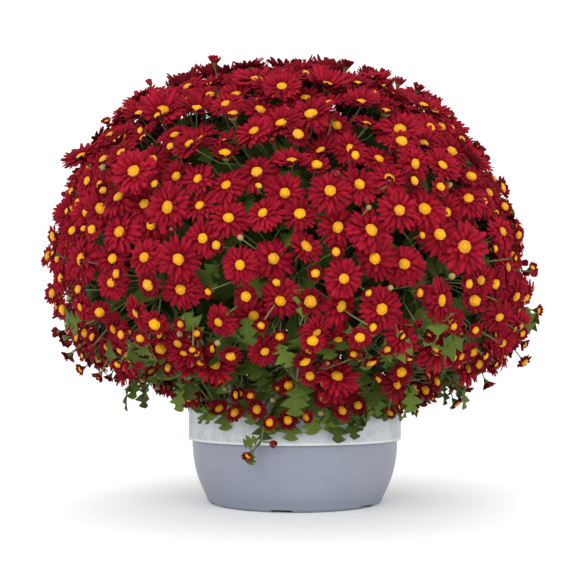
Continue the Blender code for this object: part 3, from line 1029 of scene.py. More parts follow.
@dataclass
class Nursery:
    """Models each small part once, and grows bloom variants from them."""

    seed: int = SEED
    floret_height: float = 0.07
    disc_mesh: tuple[int, int] = (14, 8)
    small_disc_mesh: tuple[int, int] = (10, 6)
    cup_segments: int = 6
    cup_foot: float = 0.26
    cup_teeth: float = 0.16
    bud_point: float = 0.14
    tube_sides: int = 4
    thin_tube_sides: int = 3
    tube_cuts: int = 3
    reaches: Span = (0.93, 1.03)
    widths: Span = (0.88, 1.10)
    lift_play: float = 9.0
    curl_play: float = 12.0
    twist_play: float = 24.0
    sway: float = 0.10
    step_play: float = 0.24

    def __post_init__(self) -> None:
        """Models the parts and the variants."""
        self.rng = random.Random(self.seed)
        self.fine_petal = FINE_PETAL.form()
        self.plain_petal = PLAIN_PETAL.form()
        self.disc = self._disc(*self.disc_mesh)
        self.small_disc = self._disc(*self.small_disc_mesh)
        self.cup = self._cup()
        self.ball = self._ball()
        self.tube = self._tube(self.tube_sides)
        self.thin_tube = self._tube(self.thin_tube_sides)
        self.variants: dict[Stage, list[BloomForm]] = {}
        for stage, plan in PLANS.items():
            self.variants[stage] = [self._bloom(plan, stage) for _ in range(plan.variants)]

    def _disc(self, segments: int, rings: int) -> Form:
        """A dome of florets of radius 1 and height 1, every other point pushed out.

        Args:
            segments: Its points round a ring.
            rings: The rings of the whole ball that it is cut from.

        Returns:
            The form.
        """
        bench = Bench(bpy.ops.mesh.primitive_uv_sphere_add, segments=segments, ring_count=rings,
                      radius=1.0)
        bpy.ops.mesh.bisect(plane_co=(0, 0, -0.01), plane_no=(0, 0, 1), use_fill=True,
                            clear_inner=True)

        def is_floret(co: Vector) -> bool:
            """Says whether a point stands out: the top one, and every other one of a ring.

            Args:
                co: The point.

            Returns:
                Whether it does.
            """
            if co.z < 0.05 or co.z > 0.99:
                return co.z > 0.99
            ring = round(math.acos(min(co.z, 1.0)) / (math.pi / rings))
            step = round(math.atan2(co.y, co.x) / (math.tau / segments))
            return (ring + step) % 2 == 0

        bench.pick(is_floret)
        bpy.ops.transform.shrink_fatten(value=self.floret_height)
        bpy.ops.mesh.select_all(action="SELECT")

        def marks(points: Array) -> Array:
            """Distance from the middle, and whether a point is a floret's top."""
            raised = np.linalg.norm(points, axis=1) > 1.0 + self.floret_height / 2
            return columns(np.clip(np.hypot(*points.T[:2]), 0, 1), raised.astype(float))

        return bench.form(marks)

    def _cup(self) -> Form:
        """Models the green cup under a bloom.

        Returns:
            A toothed cup of radius 1, and of depth 1 down from the origin.
        """
        bench = Bench(bpy.ops.mesh.primitive_cone_add, vertices=self.cup_segments,
                      radius1=self.cup_foot, radius2=1.0, depth=1.0, location=(0.0, 0.0, -0.5),
                      end_fill_type="NGON")
        step = math.tau / self.cup_segments
        bench.pick(lambda co: co.z > -0.1 and round(math.atan2(co.y, co.x) / step) % 2 == 0)
        bench.move(z=self.cup_teeth)
        return bench.form(
            lambda points: columns(np.clip(1.0 + points[:, 2], 0, 1), np.zeros(len(points)))
        )

    def _ball(self) -> Form:
        """Models a closed bud.

        Returns:
            A ball of radius 1, drawn up a little to a point.
        """
        bench = Bench(bpy.ops.mesh.primitive_uv_sphere_add, segments=8, ring_count=6, radius=1.0)
        bench.pick(lambda co: co.z > 0.99)
        bench.move(z=self.bud_point)
        return bench.form(
            lambda points: columns(np.clip(points[:, 2] * 0.5 + 0.5, 0, 1),
                                   np.full(len(points), 0.9))
        )

    def _tube(self, sides: int) -> Form:
        """Models a stalk.

        Args:
            sides: Its sides.

        Returns:
            A closed tube of radius 1 from 0 to 1 along Z.
        """
        bench = Bench(bpy.ops.mesh.primitive_circle_add, vertices=sides, radius=1.0,
                      fill_type="NGON")
        for _ in range(self.tube_cuts + 1):
            bench.extrude(z=1.0 / (self.tube_cuts + 1))
        return bench.form(lambda points: columns(points[:, 2], points[:, 0] * 0.5 + 0.5))

    def _petal(self, plan: BloomPlan, ring: PetalRing, turn: float) -> Form:
        """One petal in its place in a bloom.

        Args:
            plan: The bloom's plan.
            ring: The petal's ring.
            turn: Its angle about the bloom's axis.

        Returns:
            The petal.
        """
        rng = self.rng
        model = self.fine_petal if ring.fine else self.plain_petal
        length = (ring.reach * rng.uniform(*self.reaches) - plan.foot) * plan.radius
        lift = math.radians(ring.lift + rng.uniform(-self.lift_play, self.lift_play))
        curl = math.radians(ring.curl + rng.uniform(-self.curl_play, self.curl_play))
        twist = math.radians(rng.uniform(-self.twist_play, self.twist_play))
        half_width = ring.half_width * rng.uniform(*self.widths)
        sway = rng.uniform(-self.sway, self.sway)
        share = model.points[:, 0]
        side = model.points[:, 1] * half_width
        height = model.points[:, 2] * half_width
        angle = lift - curl * share
        x = plan.foot * plan.radius + length * (math.sin(lift) - np.sin(angle)) / curl
        z = length * (np.cos(angle) - math.cos(lift)) / curl
        about = twist * share
        across = side * np.cos(about) - height * np.sin(about) + sway * length * share**2
        above = side * np.sin(about) + height * np.cos(about)
        x = x - np.sin(angle) * above
        z = z + np.cos(angle) * above
        points = columns(
            x * math.cos(turn) - across * math.sin(turn),
            x * math.sin(turn) + across * math.cos(turn),
            z,
        )
        return replace(model, points=points, sorts=np.full(len(points), any_sort(rng)))

    def _bloom(self, plan: BloomPlan, stage: Stage) -> BloomForm:
        """Grows one variant.

        Args:
            plan: What the bloom is made of.
            stage: How far it has opened.

        Returns:
            The variant.
        """
        petals = []
        for ring in plan.rings:
            start = self.rng.uniform(0.0, math.tau)
            for index in range(ring.count):
                place = index + self.rng.uniform(-self.step_play, self.step_play)
                petals.append(self._petal(plan, ring, start + place * math.tau / ring.count))

        def sized(form: Form, width: float, height: float, base: float) -> Form:
            """A part of radius and height 1, brought to its size and height."""
            points = form.points * np.array([width, width, height]) + RISE * base
            return replace(form, points=points)

        disc = self.disc if stage is Stage.OPEN else self.small_disc
        return BloomForm(
            Form.joined(petals) if petals else None,
            sized(disc, *plan.disc) if plan.disc else None,
            sized(self.cup, *plan.cup),
            sized(self.ball, plan.radius, plan.radius, plan.cup[2]) if not petals else None,
            plan,
        )


@dataclass
class LeafModel:
    """A lobed blade of length 1 along X, modelled once, with a plain one for the inside."""

    half_widths: tuple[float, ...] = (
        0.018, 0.022, 0.120, 0.330, 0.225, 0.105, 0.265, 0.460, 0.300, 0.135, 0.290, 0.190, 0.025,
    )
    forward: tuple[float, ...] = (
        0.0, 0.0, 0.01, 0.06, 0.03, 0.00, 0.01, 0.08, 0.04, 0.00, 0.05, 0.03, 0.0,
    )
    thickness: float = 0.014
    edge_girths: Span = (0.46, 0.56)
    plain_girths: Span = (0.12, 0.44)
    plain_width: float = 0.66

    def blade(self) -> Form:
        """Models the lobed blade from a grid, row by row, and gives it its thickness.

        Returns:
            The blade.
        """
        rows = len(self.half_widths)
        bench = Bench(bpy.ops.mesh.primitive_grid_add, x_subdivisions=rows - 1, y_subdivisions=2,
                      size=1.0, location=(0.5, 0.0, 0.0))
        for index, (width, shift) in enumerate(zip(self.half_widths, self.forward)):
            place = index / (rows - 1)
            bench.pick(lambda co: abs(co.x - place) < 1e-3 and abs(co.y) > 0.499)
            bench.scale(1.0, width * 2, 1.0, (place, 0.0, 0.0))
            bench.move(x=shift)
        bench.close()
        bench.modify("SOLIDIFY", thickness=self.thickness, offset=-1.0)

        def marks(points: Array) -> Array:
            """Marks from foot to tip, and from the midrib round the edge to the underside.

            Args:
                points: The blade's points.

            Returns:
                The marks.
            """
            above = points[:, 2] > -self.thickness / 2
            edge = np.abs(points[:, 1]) > 1e-3
            over, under = self.edge_girths
            girth = np.where(above, np.where(edge, over, 0.0), np.where(edge, under, 1.0))
            return columns(np.clip(points[:, 0], 0, 1), girth)

        return bench.form(marks)

    def plain_blade(self) -> Form:
        """Models a plain oval blade with few faces, all of it marked as upper side.

        Returns:
            The blade.
        """
        bench = Bench(bpy.ops.mesh.primitive_cone_add, vertices=6, radius1=0.5, radius2=0.0,
                      depth=0.08, location=(0.5, 0.0, 0.0), end_fill_type="NGON")
        bench.scale(1.0, self.plain_width, 1.0, (0.5, 0.0, 0.0))

        def marks(points: Array) -> Array:
            """Marks from foot to tip, and from the middle to the edge."""
            girth = np.where(np.abs(points[:, 1]) < 0.05, *self.plain_girths)
            return columns(np.clip(points[:, 0], 0, 1), girth)

        return bench.form(marks)


def shaped_leaf(form: Form, root: Array, forward: Array, normal: Array, length: float,
                arch: float, fold: float) -> Array:
    """Puts a leaf in its place, arched down and folded up along its midrib.

    Args:
        form: The flat leaf.
        root: Where it starts.
        forward: Its way at the root.
        normal: The way its upper side faces there.
        length: Its length.
        arch: How far it turns down to its tip, in radians.
        fold: The rise of its sides, as a share of the distance from the midrib.

    Returns:
        The leaf's points.
    """
    forward = unit(forward)
    side = unit(np.cross(normal, forward))
    normal = np.cross(forward, side)
    share = form.points[:, 0]
    angle = -arch * share
    along = length * np.sin(arch * share) / arch
    drop = length * (np.cos(arch * share) - 1.0) / arch
    above = length * (form.points[:, 2] + fold * np.abs(form.points[:, 1]))
    along = along - np.sin(angle) * above
    height = drop + np.cos(angle) * above
    across = length * form.points[:, 1]
    return root + np.outer(along, forward) + np.outer(across, side) + np.outer(height, normal)


# The plant's own frame


@dataclass
class Dome:
    """The surface that the bloom centres lie on, and the ways of the stems up to it."""

    shift: Point = (0.001, -0.003, 0.0)
    centre_height: float = 0.287
    radius: float = 0.289
    rise: float = 0.242
    drop: float = 0.166
    drop_power: float = 2.6
    lowest: float = 0.168
    samples: int = 240
    step: float = 0.01
    stem_disc: float = 0.090
    flow_rise: float = 0.10
    flow_height_share: float = 0.42
    flow_spread_share: float = 0.18

    def __post_init__(self) -> None:
        """Samples the outline from the top down, with the area above each sample."""
        turn = np.linspace(0.0, math.pi / 2, self.samples)
        lower = np.linspace(self.centre_height, self.lowest, self.samples)[1:]
        share = (self.centre_height - lower) / self.drop
        belly = self.radius * (1.0 - share**self.drop_power) ** (1.0 / self.drop_power)
        self.radii = np.concatenate([self.radius * np.sin(turn), belly])
        self.heights = np.concatenate([self.centre_height + self.rise * np.cos(turn), lower])
        steps = np.hypot(np.diff(self.radii), np.diff(self.heights))
        middle = (self.radii[1:] + self.radii[:-1]) / 2
        area = np.concatenate([[0.0], np.cumsum(math.tau * middle * steps)])
        self.reaches = np.sqrt(area / area[-1])
        self.length = float(steps.sum())

    def outline(self, reach: float) -> tuple[float, float]:
        """Radius and height at a reach from 0, the top, to 1, the lower edge."""
        radius = float(np.interp(reach, self.reaches, self.radii))
        return radius, float(np.interp(reach, self.reaches, self.heights))

    def point(self, reach: float, turn: float) -> Vector:
        """A point of the dome.

        Args:
            reach: How far out it is, from 0 to 1.
            turn: Its angle about the axis.

        Returns:
            The point.
        """
        radius, height = self.outline(reach)
        place = Vector((radius * math.cos(turn), radius * math.sin(turn), height))
        return place + Vector(self.shift)

    def nearest(self, radius: float, height: float) -> float:
        """The reach of the outline's nearest point."""
        return float(self.reaches[np.argmin(np.hypot(self.radii - radius, self.heights - height))])

    def normal(self, reach: float, turn: float) -> Vector:
        """The dome's outward direction.

        Args:
            reach: How far out the place is, from 0 to 1.
            turn: Its angle about the axis.

        Returns:
            The direction.
        """
        low = self.outline(min(reach + self.step, 1.0))
        high = self.outline(max(reach - self.step, 0.0))
        along = Vector((low[0] - high[0], low[1] - high[1])).normalized()
        flat = -along.y
        return Vector((flat * math.cos(turn), flat * math.sin(turn), along.x)).normalized()

    def flow(self, reach: float, turn: float, share: float) -> Vector:
        """A point on the way from the soil to the dome.

        Args:
            reach: The way's end on the dome.
            turn: Its angle about the axis.
            share: How far along it is, from 0 to 1.

        Returns:
            The point.
        """
        radius, height = self.outline(reach)
        foot = self.stem_disc * reach
        start = Vector((foot, SOIL_TOP))
        bend_height = SOIL_TOP + self.flow_rise
        bend_height += self.flow_height_share * (height - SOIL_TOP)
        bend = Vector((foot + self.flow_spread_share * (radius - foot), bend_height))
        end = Vector((radius, height))
        rest = 1.0 - share
        flat = start * rest**2 + bend * (2 * rest * share) + end * share**2
        shift = Vector(self.shift) * share
        return Vector((flat.x * math.cos(turn), flat.x * math.sin(turn), flat.y)) + shift


@dataclass
class Bloom:
    """One bloom in its place on the plant."""

    centre: Vector
    axis: Vector
    reach: float
    turn: float
    stage: Stage
    scale: float
    shade: float


@dataclass(frozen=True)
class Filling:
    """One lot of blooms in the gaps: how many, how deep, how high up, how bright and how large."""

    stage: Stage
    count: int
    depths: Span
    reaches: Span
    shades: Span
    scales: Span = (0.88, 1.10)


FILLINGS = (
    Filling(Stage.UNDER, 235, (0.000, 0.014), (0.0, 0.80), (0.35, 0.95)),
    Filling(Stage.UNDER, 34, (0.000, 0.014), (0.0, 0.56), (0.35, 0.95)),
    Filling(Stage.UNDER, 22, (0.000, 0.014), (0.56, 0.86), (0.35, 0.95)),
    Filling(Stage.UNDER, 20, (0.004, 0.018), (0.80, 1.0), (0.35, 0.95)),
    # Painted shade: this deeper lot gets darker tones.
    Filling(Stage.UNDER, 48, (0.012, 0.026), (0.0, 0.60), (0.30, 0.85)),
    Filling(Stage.YOUNG, 58, (-0.012, 0.002), (0.24, 0.80), (0.0, 0.50), (0.86, 1.30)),
    Filling(Stage.YOUNG, 58, (-0.012, 0.004), (0.80, 1.0), (0.0, 0.50), (0.86, 1.30)),
    Filling(Stage.OPENING, 55, (-0.014, 0.000), (0.25, 0.80), (0.0, 0.40)),
    Filling(Stage.OPENING, 50, (-0.014, 0.002), (0.80, 1.0), (0.0, 0.40)),
    Filling(Stage.COLOURED_BUD, 60, (-0.014, 0.000), (0.0, 1.0), (0.1, 0.7)),
    Filling(Stage.GREEN_BUD, 24, (-0.010, 0.004), (0.3, 1.0), (0.3, 1.0)),
    Filling(Stage.OPENING, 6, (-0.017, -0.010), (0.2, 0.6), (0.2, 0.6)),
    Filling(Stage.COLOURED_BUD, 9, (-0.018, -0.010), (0.2, 0.7), (0.2, 0.8)),
    Filling(Stage.YOUNG, 10, (-0.028, -0.012), (0.93, 1.0), (0.0, 0.40)),
    Filling(Stage.OPENING, 20, (-0.032, -0.014), (0.93, 1.0), (0.0, 0.40)),
)


@dataclass(frozen=True)
class Stray:
    """A young bloom on a long stalk that stands out of the dome's outline."""

    stage: Stage
    place: Point
    up: float


STRAYS = (
    Stray(Stage.OPENING, (-0.102, -0.050, 0.526), 1.6),
    Stray(Stage.COLOURED_BUD, (-0.116, -0.045, 0.516), 1.6),
    Stray(Stage.COLOURED_BUD, (-0.136, -0.050, 0.513), 1.2),
    Stray(Stage.OPENING, (-0.151, -0.050, 0.502), 1.2),
    Stray(Stage.OPENING, (0.092, -0.050, 0.519), 1.4),
    Stray(Stage.YOUNG, (0.106, -0.050, 0.514), 1.2),
    Stray(Stage.OPENING, (0.138, -0.050, 0.491), 1.0),
    Stray(Stage.OPENING, (0.170, -0.050, 0.482), 0.9),
    Stray(Stage.COLOURED_BUD, (0.160, -0.050, 0.487), 1.0),
    Stray(Stage.OPENING, (-0.292, -0.010, 0.228), 0.5),
    Stray(Stage.OPENING, (-0.290, -0.020, 0.205), 0.3),
    Stray(Stage.YOUNG, (-0.279, -0.030, 0.196), 0.2),
    Stray(Stage.OPENING, (-0.274, -0.020, 0.175), -0.1),
    Stray(Stage.COLOURED_BUD, (-0.268, -0.030, 0.208), 0.4),
    Stray(Stage.OPENING, (0.236, -0.010, 0.143), -0.3),
    Stray(Stage.OPENING, (0.262, -0.020, 0.180), 0.0),
    Stray(Stage.YOUNG, (0.203, -0.030, 0.136), -0.4),
    Stray(Stage.YOUNG, (0.190, -0.050, 0.120), -0.4),
)


@dataclass
class BloomLayout:
    """Where the blooms and buds go: an even outer layer, as in the frame, and fillers."""

    dome: Dome
    count: int = 255
    jitter: float = 0.003
    depth_in: float = 0.010
    depth_out: float = 0.006
    proud_chance: float = 0.05
    proud_out: float = 0.012
    tilt: float = 0.25
    low_from: float = 0.84
    low_shrink: float = 0.16
    least_scale: float = 0.86
    more_scale: float = 0.36
    scale_power: float = 2.2
    shades: Span = (0.40, 1.0)
    forward: float = 0.50
    forward_to: float = 0.3
    upward: float = 0.08
    upward_high: float = 0.28
    flank: Point = (0.90, -0.15, 0.36)
    flank_edge: float = 0.76
    flank_depth: float = 0.024
    crown: Point = (0.35, 0.0, 1.0)
    crown_depth: float = 0.022
    crown_power: int = 6
    shoulder: Span = (0.45, 1.0)
    shoulder_out: float = 0.007
    margin: float = 0.007
    tries: int = 40
    stray_scales: Span = (0.95, 1.15)
    stray_shades: Span = (0.0, 0.45)

    def _axis(self, normal: Vector, rng: random.Random) -> Vector:
        """The way a bloom faces: outwards, up near the top, to the light in front, with some lean.

        Args:
            normal: The dome's outward direction.
            rng: The source of the lean.

        Returns:
            The direction.
        """
        lean = Vector(scatter(rng)) * self.tilt
        lift = self.upward + self.upward_high * max(normal.z, 0.0) ** 2
        if normal.y < self.forward_to:
            share = (self.forward_to - max(normal.y, 0.0)) / self.forward_to
            lean.y -= self.forward * abs(normal.x) * share
        return (normal + lean + UP * lift).normalized()

    def _settled(self, centre: Vector, normal: Vector) -> Vector:
        """A bloom's place: in on the flatter flank and the crown, and inside the CAD model's box.

        Args:
            centre: Where it would be on an even dome.
            normal: The dome's outward direction there.

        Returns:
            Where it goes.
        """
        to_flank = normal.dot(Vector(self.flank).normalized())
        share = clipped((to_flank - self.flank_edge) / (1 - self.flank_edge))
        drawn_in = self.flank_depth * math.sin(share * math.pi / 2) ** 2
        to_crown = max(normal.dot(Vector(self.crown).normalized()), 0.0)
        drawn_in += self.crown_depth * to_crown**self.crown_power
        low, high = self.shoulder
        rise = clipped((normal.z - low) / (high - low))
        drawn_in -= self.shoulder_out * math.sin(rise * math.pi) ** 2
        centre = centre - normal * drawn_in
        low, high = LIMITS.low + self.margin, LIMITS.high - self.margin
        return Vector(np.clip(np.array(centre), low, high))

    def outer(self) -> list[Bloom]:
        """Lays the outer layer, by the same rule and seed as the solids.

        Returns:
            Its open blooms.
        """
        rng = random.Random(SEED)
        own = random.Random(SEED + 1)
        blooms = []
        for index in range(self.count):
            reach = math.sqrt((index + 0.5) / self.count)
            turn = index * GOLDEN_TURN
            radius, _ = self.dome.outline(reach)
            reach += rng.uniform(-1, 1) * self.jitter / self.dome.length
            reach = min(max(reach, 0.0), LAST_REACH)
            turn += rng.uniform(-1, 1) * self.jitter / max(radius, self.jitter * 10)
            out = rng.uniform(-self.depth_in, self.depth_out)
            if rng.random() < self.proud_chance:
                out = self.proud_out
            normal = self.dome.normal(reach, turn)
            centre = self._settled(self.dome.point(reach, turn) + normal * out, normal)
            axis = self._axis(normal, rng)
            low = max(reach - self.low_from, 0.0) / (1.0 - self.low_from)
            scale = self.least_scale + self.more_scale * own.random() ** self.scale_power
            scale *= 1.0 - self.low_shrink * low
            shade = own.uniform(*self.shades)
            blooms.append(Bloom(centre, axis, reach, turn % math.tau, Stage.OPEN, scale, shade))
        return blooms

    def fillers(self, outer: Sequence[Bloom]) -> list[Bloom]:
        """Lays the rest: each goes where, of a few random places, the others are farthest.

        Args:
            outer: The blooms that are there already.

        Returns:
            The added blooms and buds.
        """
        rng = random.Random(SEED + 2)
        taken = [bloom.centre for bloom in outer]
        added: list[Bloom] = []
        for filling in FILLINGS:
            for _ in range(filling.count):
                best = None
                places = np.array([list(point) for point in taken])
                for _ in range(self.tries):
                    share = rng.uniform(filling.reaches[0] ** 2, filling.reaches[1] ** 2)
                    reach = min(math.sqrt(share), LAST_REACH)
                    turn = rng.uniform(0.0, math.tau)
                    point = self.dome.point(reach, turn)
                    gap = np.linalg.norm(places - np.array(point), axis=1).min()
                    if best is None or gap > best[0]:
                        best = (gap, reach, turn, point)
                _, reach, turn, point = best
                normal = self.dome.normal(reach, turn)
                centre = self._settled(point - normal * rng.uniform(*filling.depths), normal)
                taken.append(point)
                added.append(Bloom(
                    centre, self._axis(normal, rng), reach, turn, filling.stage,
                    rng.uniform(*filling.scales), rng.uniform(*filling.shades),
                ))
        return added

    def strays(self) -> list[Bloom]:
        """Lays the young blooms that stand out of the outline, where the photo shows some.

        Returns:
            The blooms and buds.
        """
        rng = random.Random(SEED + 3)
        blooms = []
        for stray in STRAYS:
            place = Vector(stray.place)
            reach = min(self.dome.nearest(math.hypot(place.x, place.y), place.z), LAST_REACH)
            turn = math.atan2(place.y, place.x) % math.tau
            lean = Vector(scatter(rng)) * self.tilt
            axis = (self.dome.normal(reach, turn) + lean + UP * stray.up).normalized()
            scale, shade = rng.uniform(*self.stray_scales), rng.uniform(*self.stray_shades)
            blooms.append(Bloom(place, axis, reach, turn, stray.stage, scale, shade))
        return blooms


# Sub-assemblies


@dataclass
class Kit:
    """The small parts and the materials, each made once."""

    nursery: Nursery
    leaf: Form
    plain_leaf: Form
    petals: Material
    discs: Material
    greens: Material


@dataclass
class Growth:
    """Puts blooms, leaves and stalks into the batches of one stem."""

    name: str
    kit: Kit
    rng: random.Random
    stalk_radius: float = 0.00072
    stalk_foot: float = 1.35
    stalk_bend: float = 0.35
    stalk_top: float = 0.8
    leaf_stalk_radius: float = 0.00070
    leaf_stalk_foot: float = 1.3
    leaf_stalk_rise: float = 0.3
    leaf_stalk_in: float = 0.004
    bowl: Span = (-0.28, 0.16)
    bowl_high: float = 0.75
    bowl_from: float = 0.25
    stretches: Span = (0.93, 1.06)
    unripe: float = 0.25
    ripe: Span = (0.72, 1.0)

    def __post_init__(self) -> None:
        """Starts the batches."""
        self.petals = Batch(f"{self.name}_petals", self.kit.petals, Slot.PETALS)
        self.discs = Batch(f"{self.name}_discs", self.kit.discs, Slot.PETALS)
        self.greens = Batch(f"{self.name}_greens", self.kit.greens, Slot.FOLIAGE)

    def add_tube(self, points: Sequence[Array], radius: Span, shade: float,
                 thin: bool = False) -> None:
        """Adds a stalk along a cubic curve.

        Args:
            points: The curve's four control points.
            radius: The radius at its start and at its end.
            shade: Its shade.
            thin: Whether it gets few sides.
        """
        form = self.kit.nursery.thin_tube if thin else self.kit.nursery.tube
        share = form.points[:, 2]
        middle = bezier(points, share)
        ahead = bezier(points, np.clip(share + 0.01, 0, 1))
        behind = bezier(points, np.clip(share - 0.01, 0, 1))
        along = unit(ahead - behind)
        reference = np.zeros(3)
        reference[int(np.argmin(np.ptp(np.array(points), axis=0)))] = 1.0
        side = unit(np.cross(along, reference))
        other = np.cross(along, side)
        width = radius[0] + (radius[1] - radius[0]) * share
        placed = middle + side * (form.points[:, 0] * width)[:, None]
        placed = placed + other * (form.points[:, 1] * width)[:, None]
        self.greens.add(form, placed, shade, Green.STALK.mark)

    def add_bloom(self, bloom: Bloom, root: Array, root_way: Array) -> None:
        """Adds a bloom with its cup and its stalk.

        Args:
            bloom: The bloom.
            root: Where its stalk starts.
            root_way: The way that the stalk starts off.
        """
        rng = self.rng
        variant = rng.choice(self.kit.nursery.variants[bloom.stage])
        turn = facing(bloom.axis, rng.uniform(0.0, math.tau))
        centre, axis = np.array(bloom.centre), np.array(bloom.axis)
        raised = self.bowl_high * max(bloom.axis.z - self.bowl_from, 0.0)
        bowl = (rng.uniform(*self.bowl) + raised) / variant.plan.radius
        stretch = rng.uniform(*self.stretches)
        scale = np.array([stretch, 1.0 / stretch, 1.0]) * bloom.scale

        def placed(form: Form) -> Array:
            """Puts a part of the bloom where it belongs.

            Args:
                form: The part.

            Returns:
                Its points.
            """
            local = form.points * scale
            local[:, 2] += bowl * (local[:, 0] ** 2 + local[:, 1] ** 2)
            return LIMITS.hold(centre + local @ turn, centre)

        if variant.petals:
            self.petals.add(variant.petals, placed(variant.petals), bloom.shade)
        if variant.disc:
            ripe = self.unripe if bloom.stage is Stage.COLOURED_BUD else rng.uniform(*self.ripe)
            self.discs.add(variant.disc, placed(variant.disc), ripe, any_sort(rng))
        if variant.ball:
            self.greens.add(variant.ball, placed(variant.ball), bloom.shade, Green.BUD.mark)
        self.greens.add(variant.cup, placed(variant.cup), rng.random(), Green.CUP.mark)
        _, cup_depth, cup_top = variant.plan.cup
        top = centre + axis * (cup_top - cup_depth * self.stalk_top) * bloom.scale
        span, bend = np.linalg.norm(top - root), self.stalk_bend
        curve = (root, root + root_way * span * bend, top - axis * span * bend, top)
        radii = (self.stalk_radius * self.stalk_foot, self.stalk_radius)
        self.add_tube(curve, radii, rng.random(), thin=bloom.stage is Stage.UNDER)

    def add_leaf(self, root: Array, forward: Array, normal: Array, length: float,
                 arch: float, fold: float, shade: float, stalk_from: Array | None = None) -> None:
        """Adds a lobed leaf, with a stalk if that is asked for.

        Args:
            root: Where its blade starts.
            forward: The way that it grows.
            normal: The way that its upper side faces.
            length: Its length.
            arch: How far it turns down to its tip, in radians.
            fold: The rise of its sides.
            shade: Its shade.
            stalk_from: Where its stalk starts, if it has one.
        """
        leaf = self.kit.leaf
        points = LIMITS.hold(shaped_leaf(leaf, root, forward, normal, length, arch, fold), root)
        self.greens.add(leaf, points, shade, Green.LEAF.mark)
        if stalk_from is not None:
            way = unit(forward)
            span = np.linalg.norm(root - stalk_from)
            rise = stalk_from + unit(root - stalk_from) * span * self.leaf_stalk_rise
            bend = root - way * span * self.stalk_bend
            radius = self.leaf_stalk_radius
            self.add_tube((stalk_from, rise, bend, root + way * self.leaf_stalk_in),
                          (radius * self.leaf_stalk_foot, radius), self.rng.random(), thin=True)

    def build(self) -> None:
        """Makes the pieces, which stand for the stem's solid together."""
        for batch in (self.petals, self.discs, self.greens):
            batch.build(self.name)


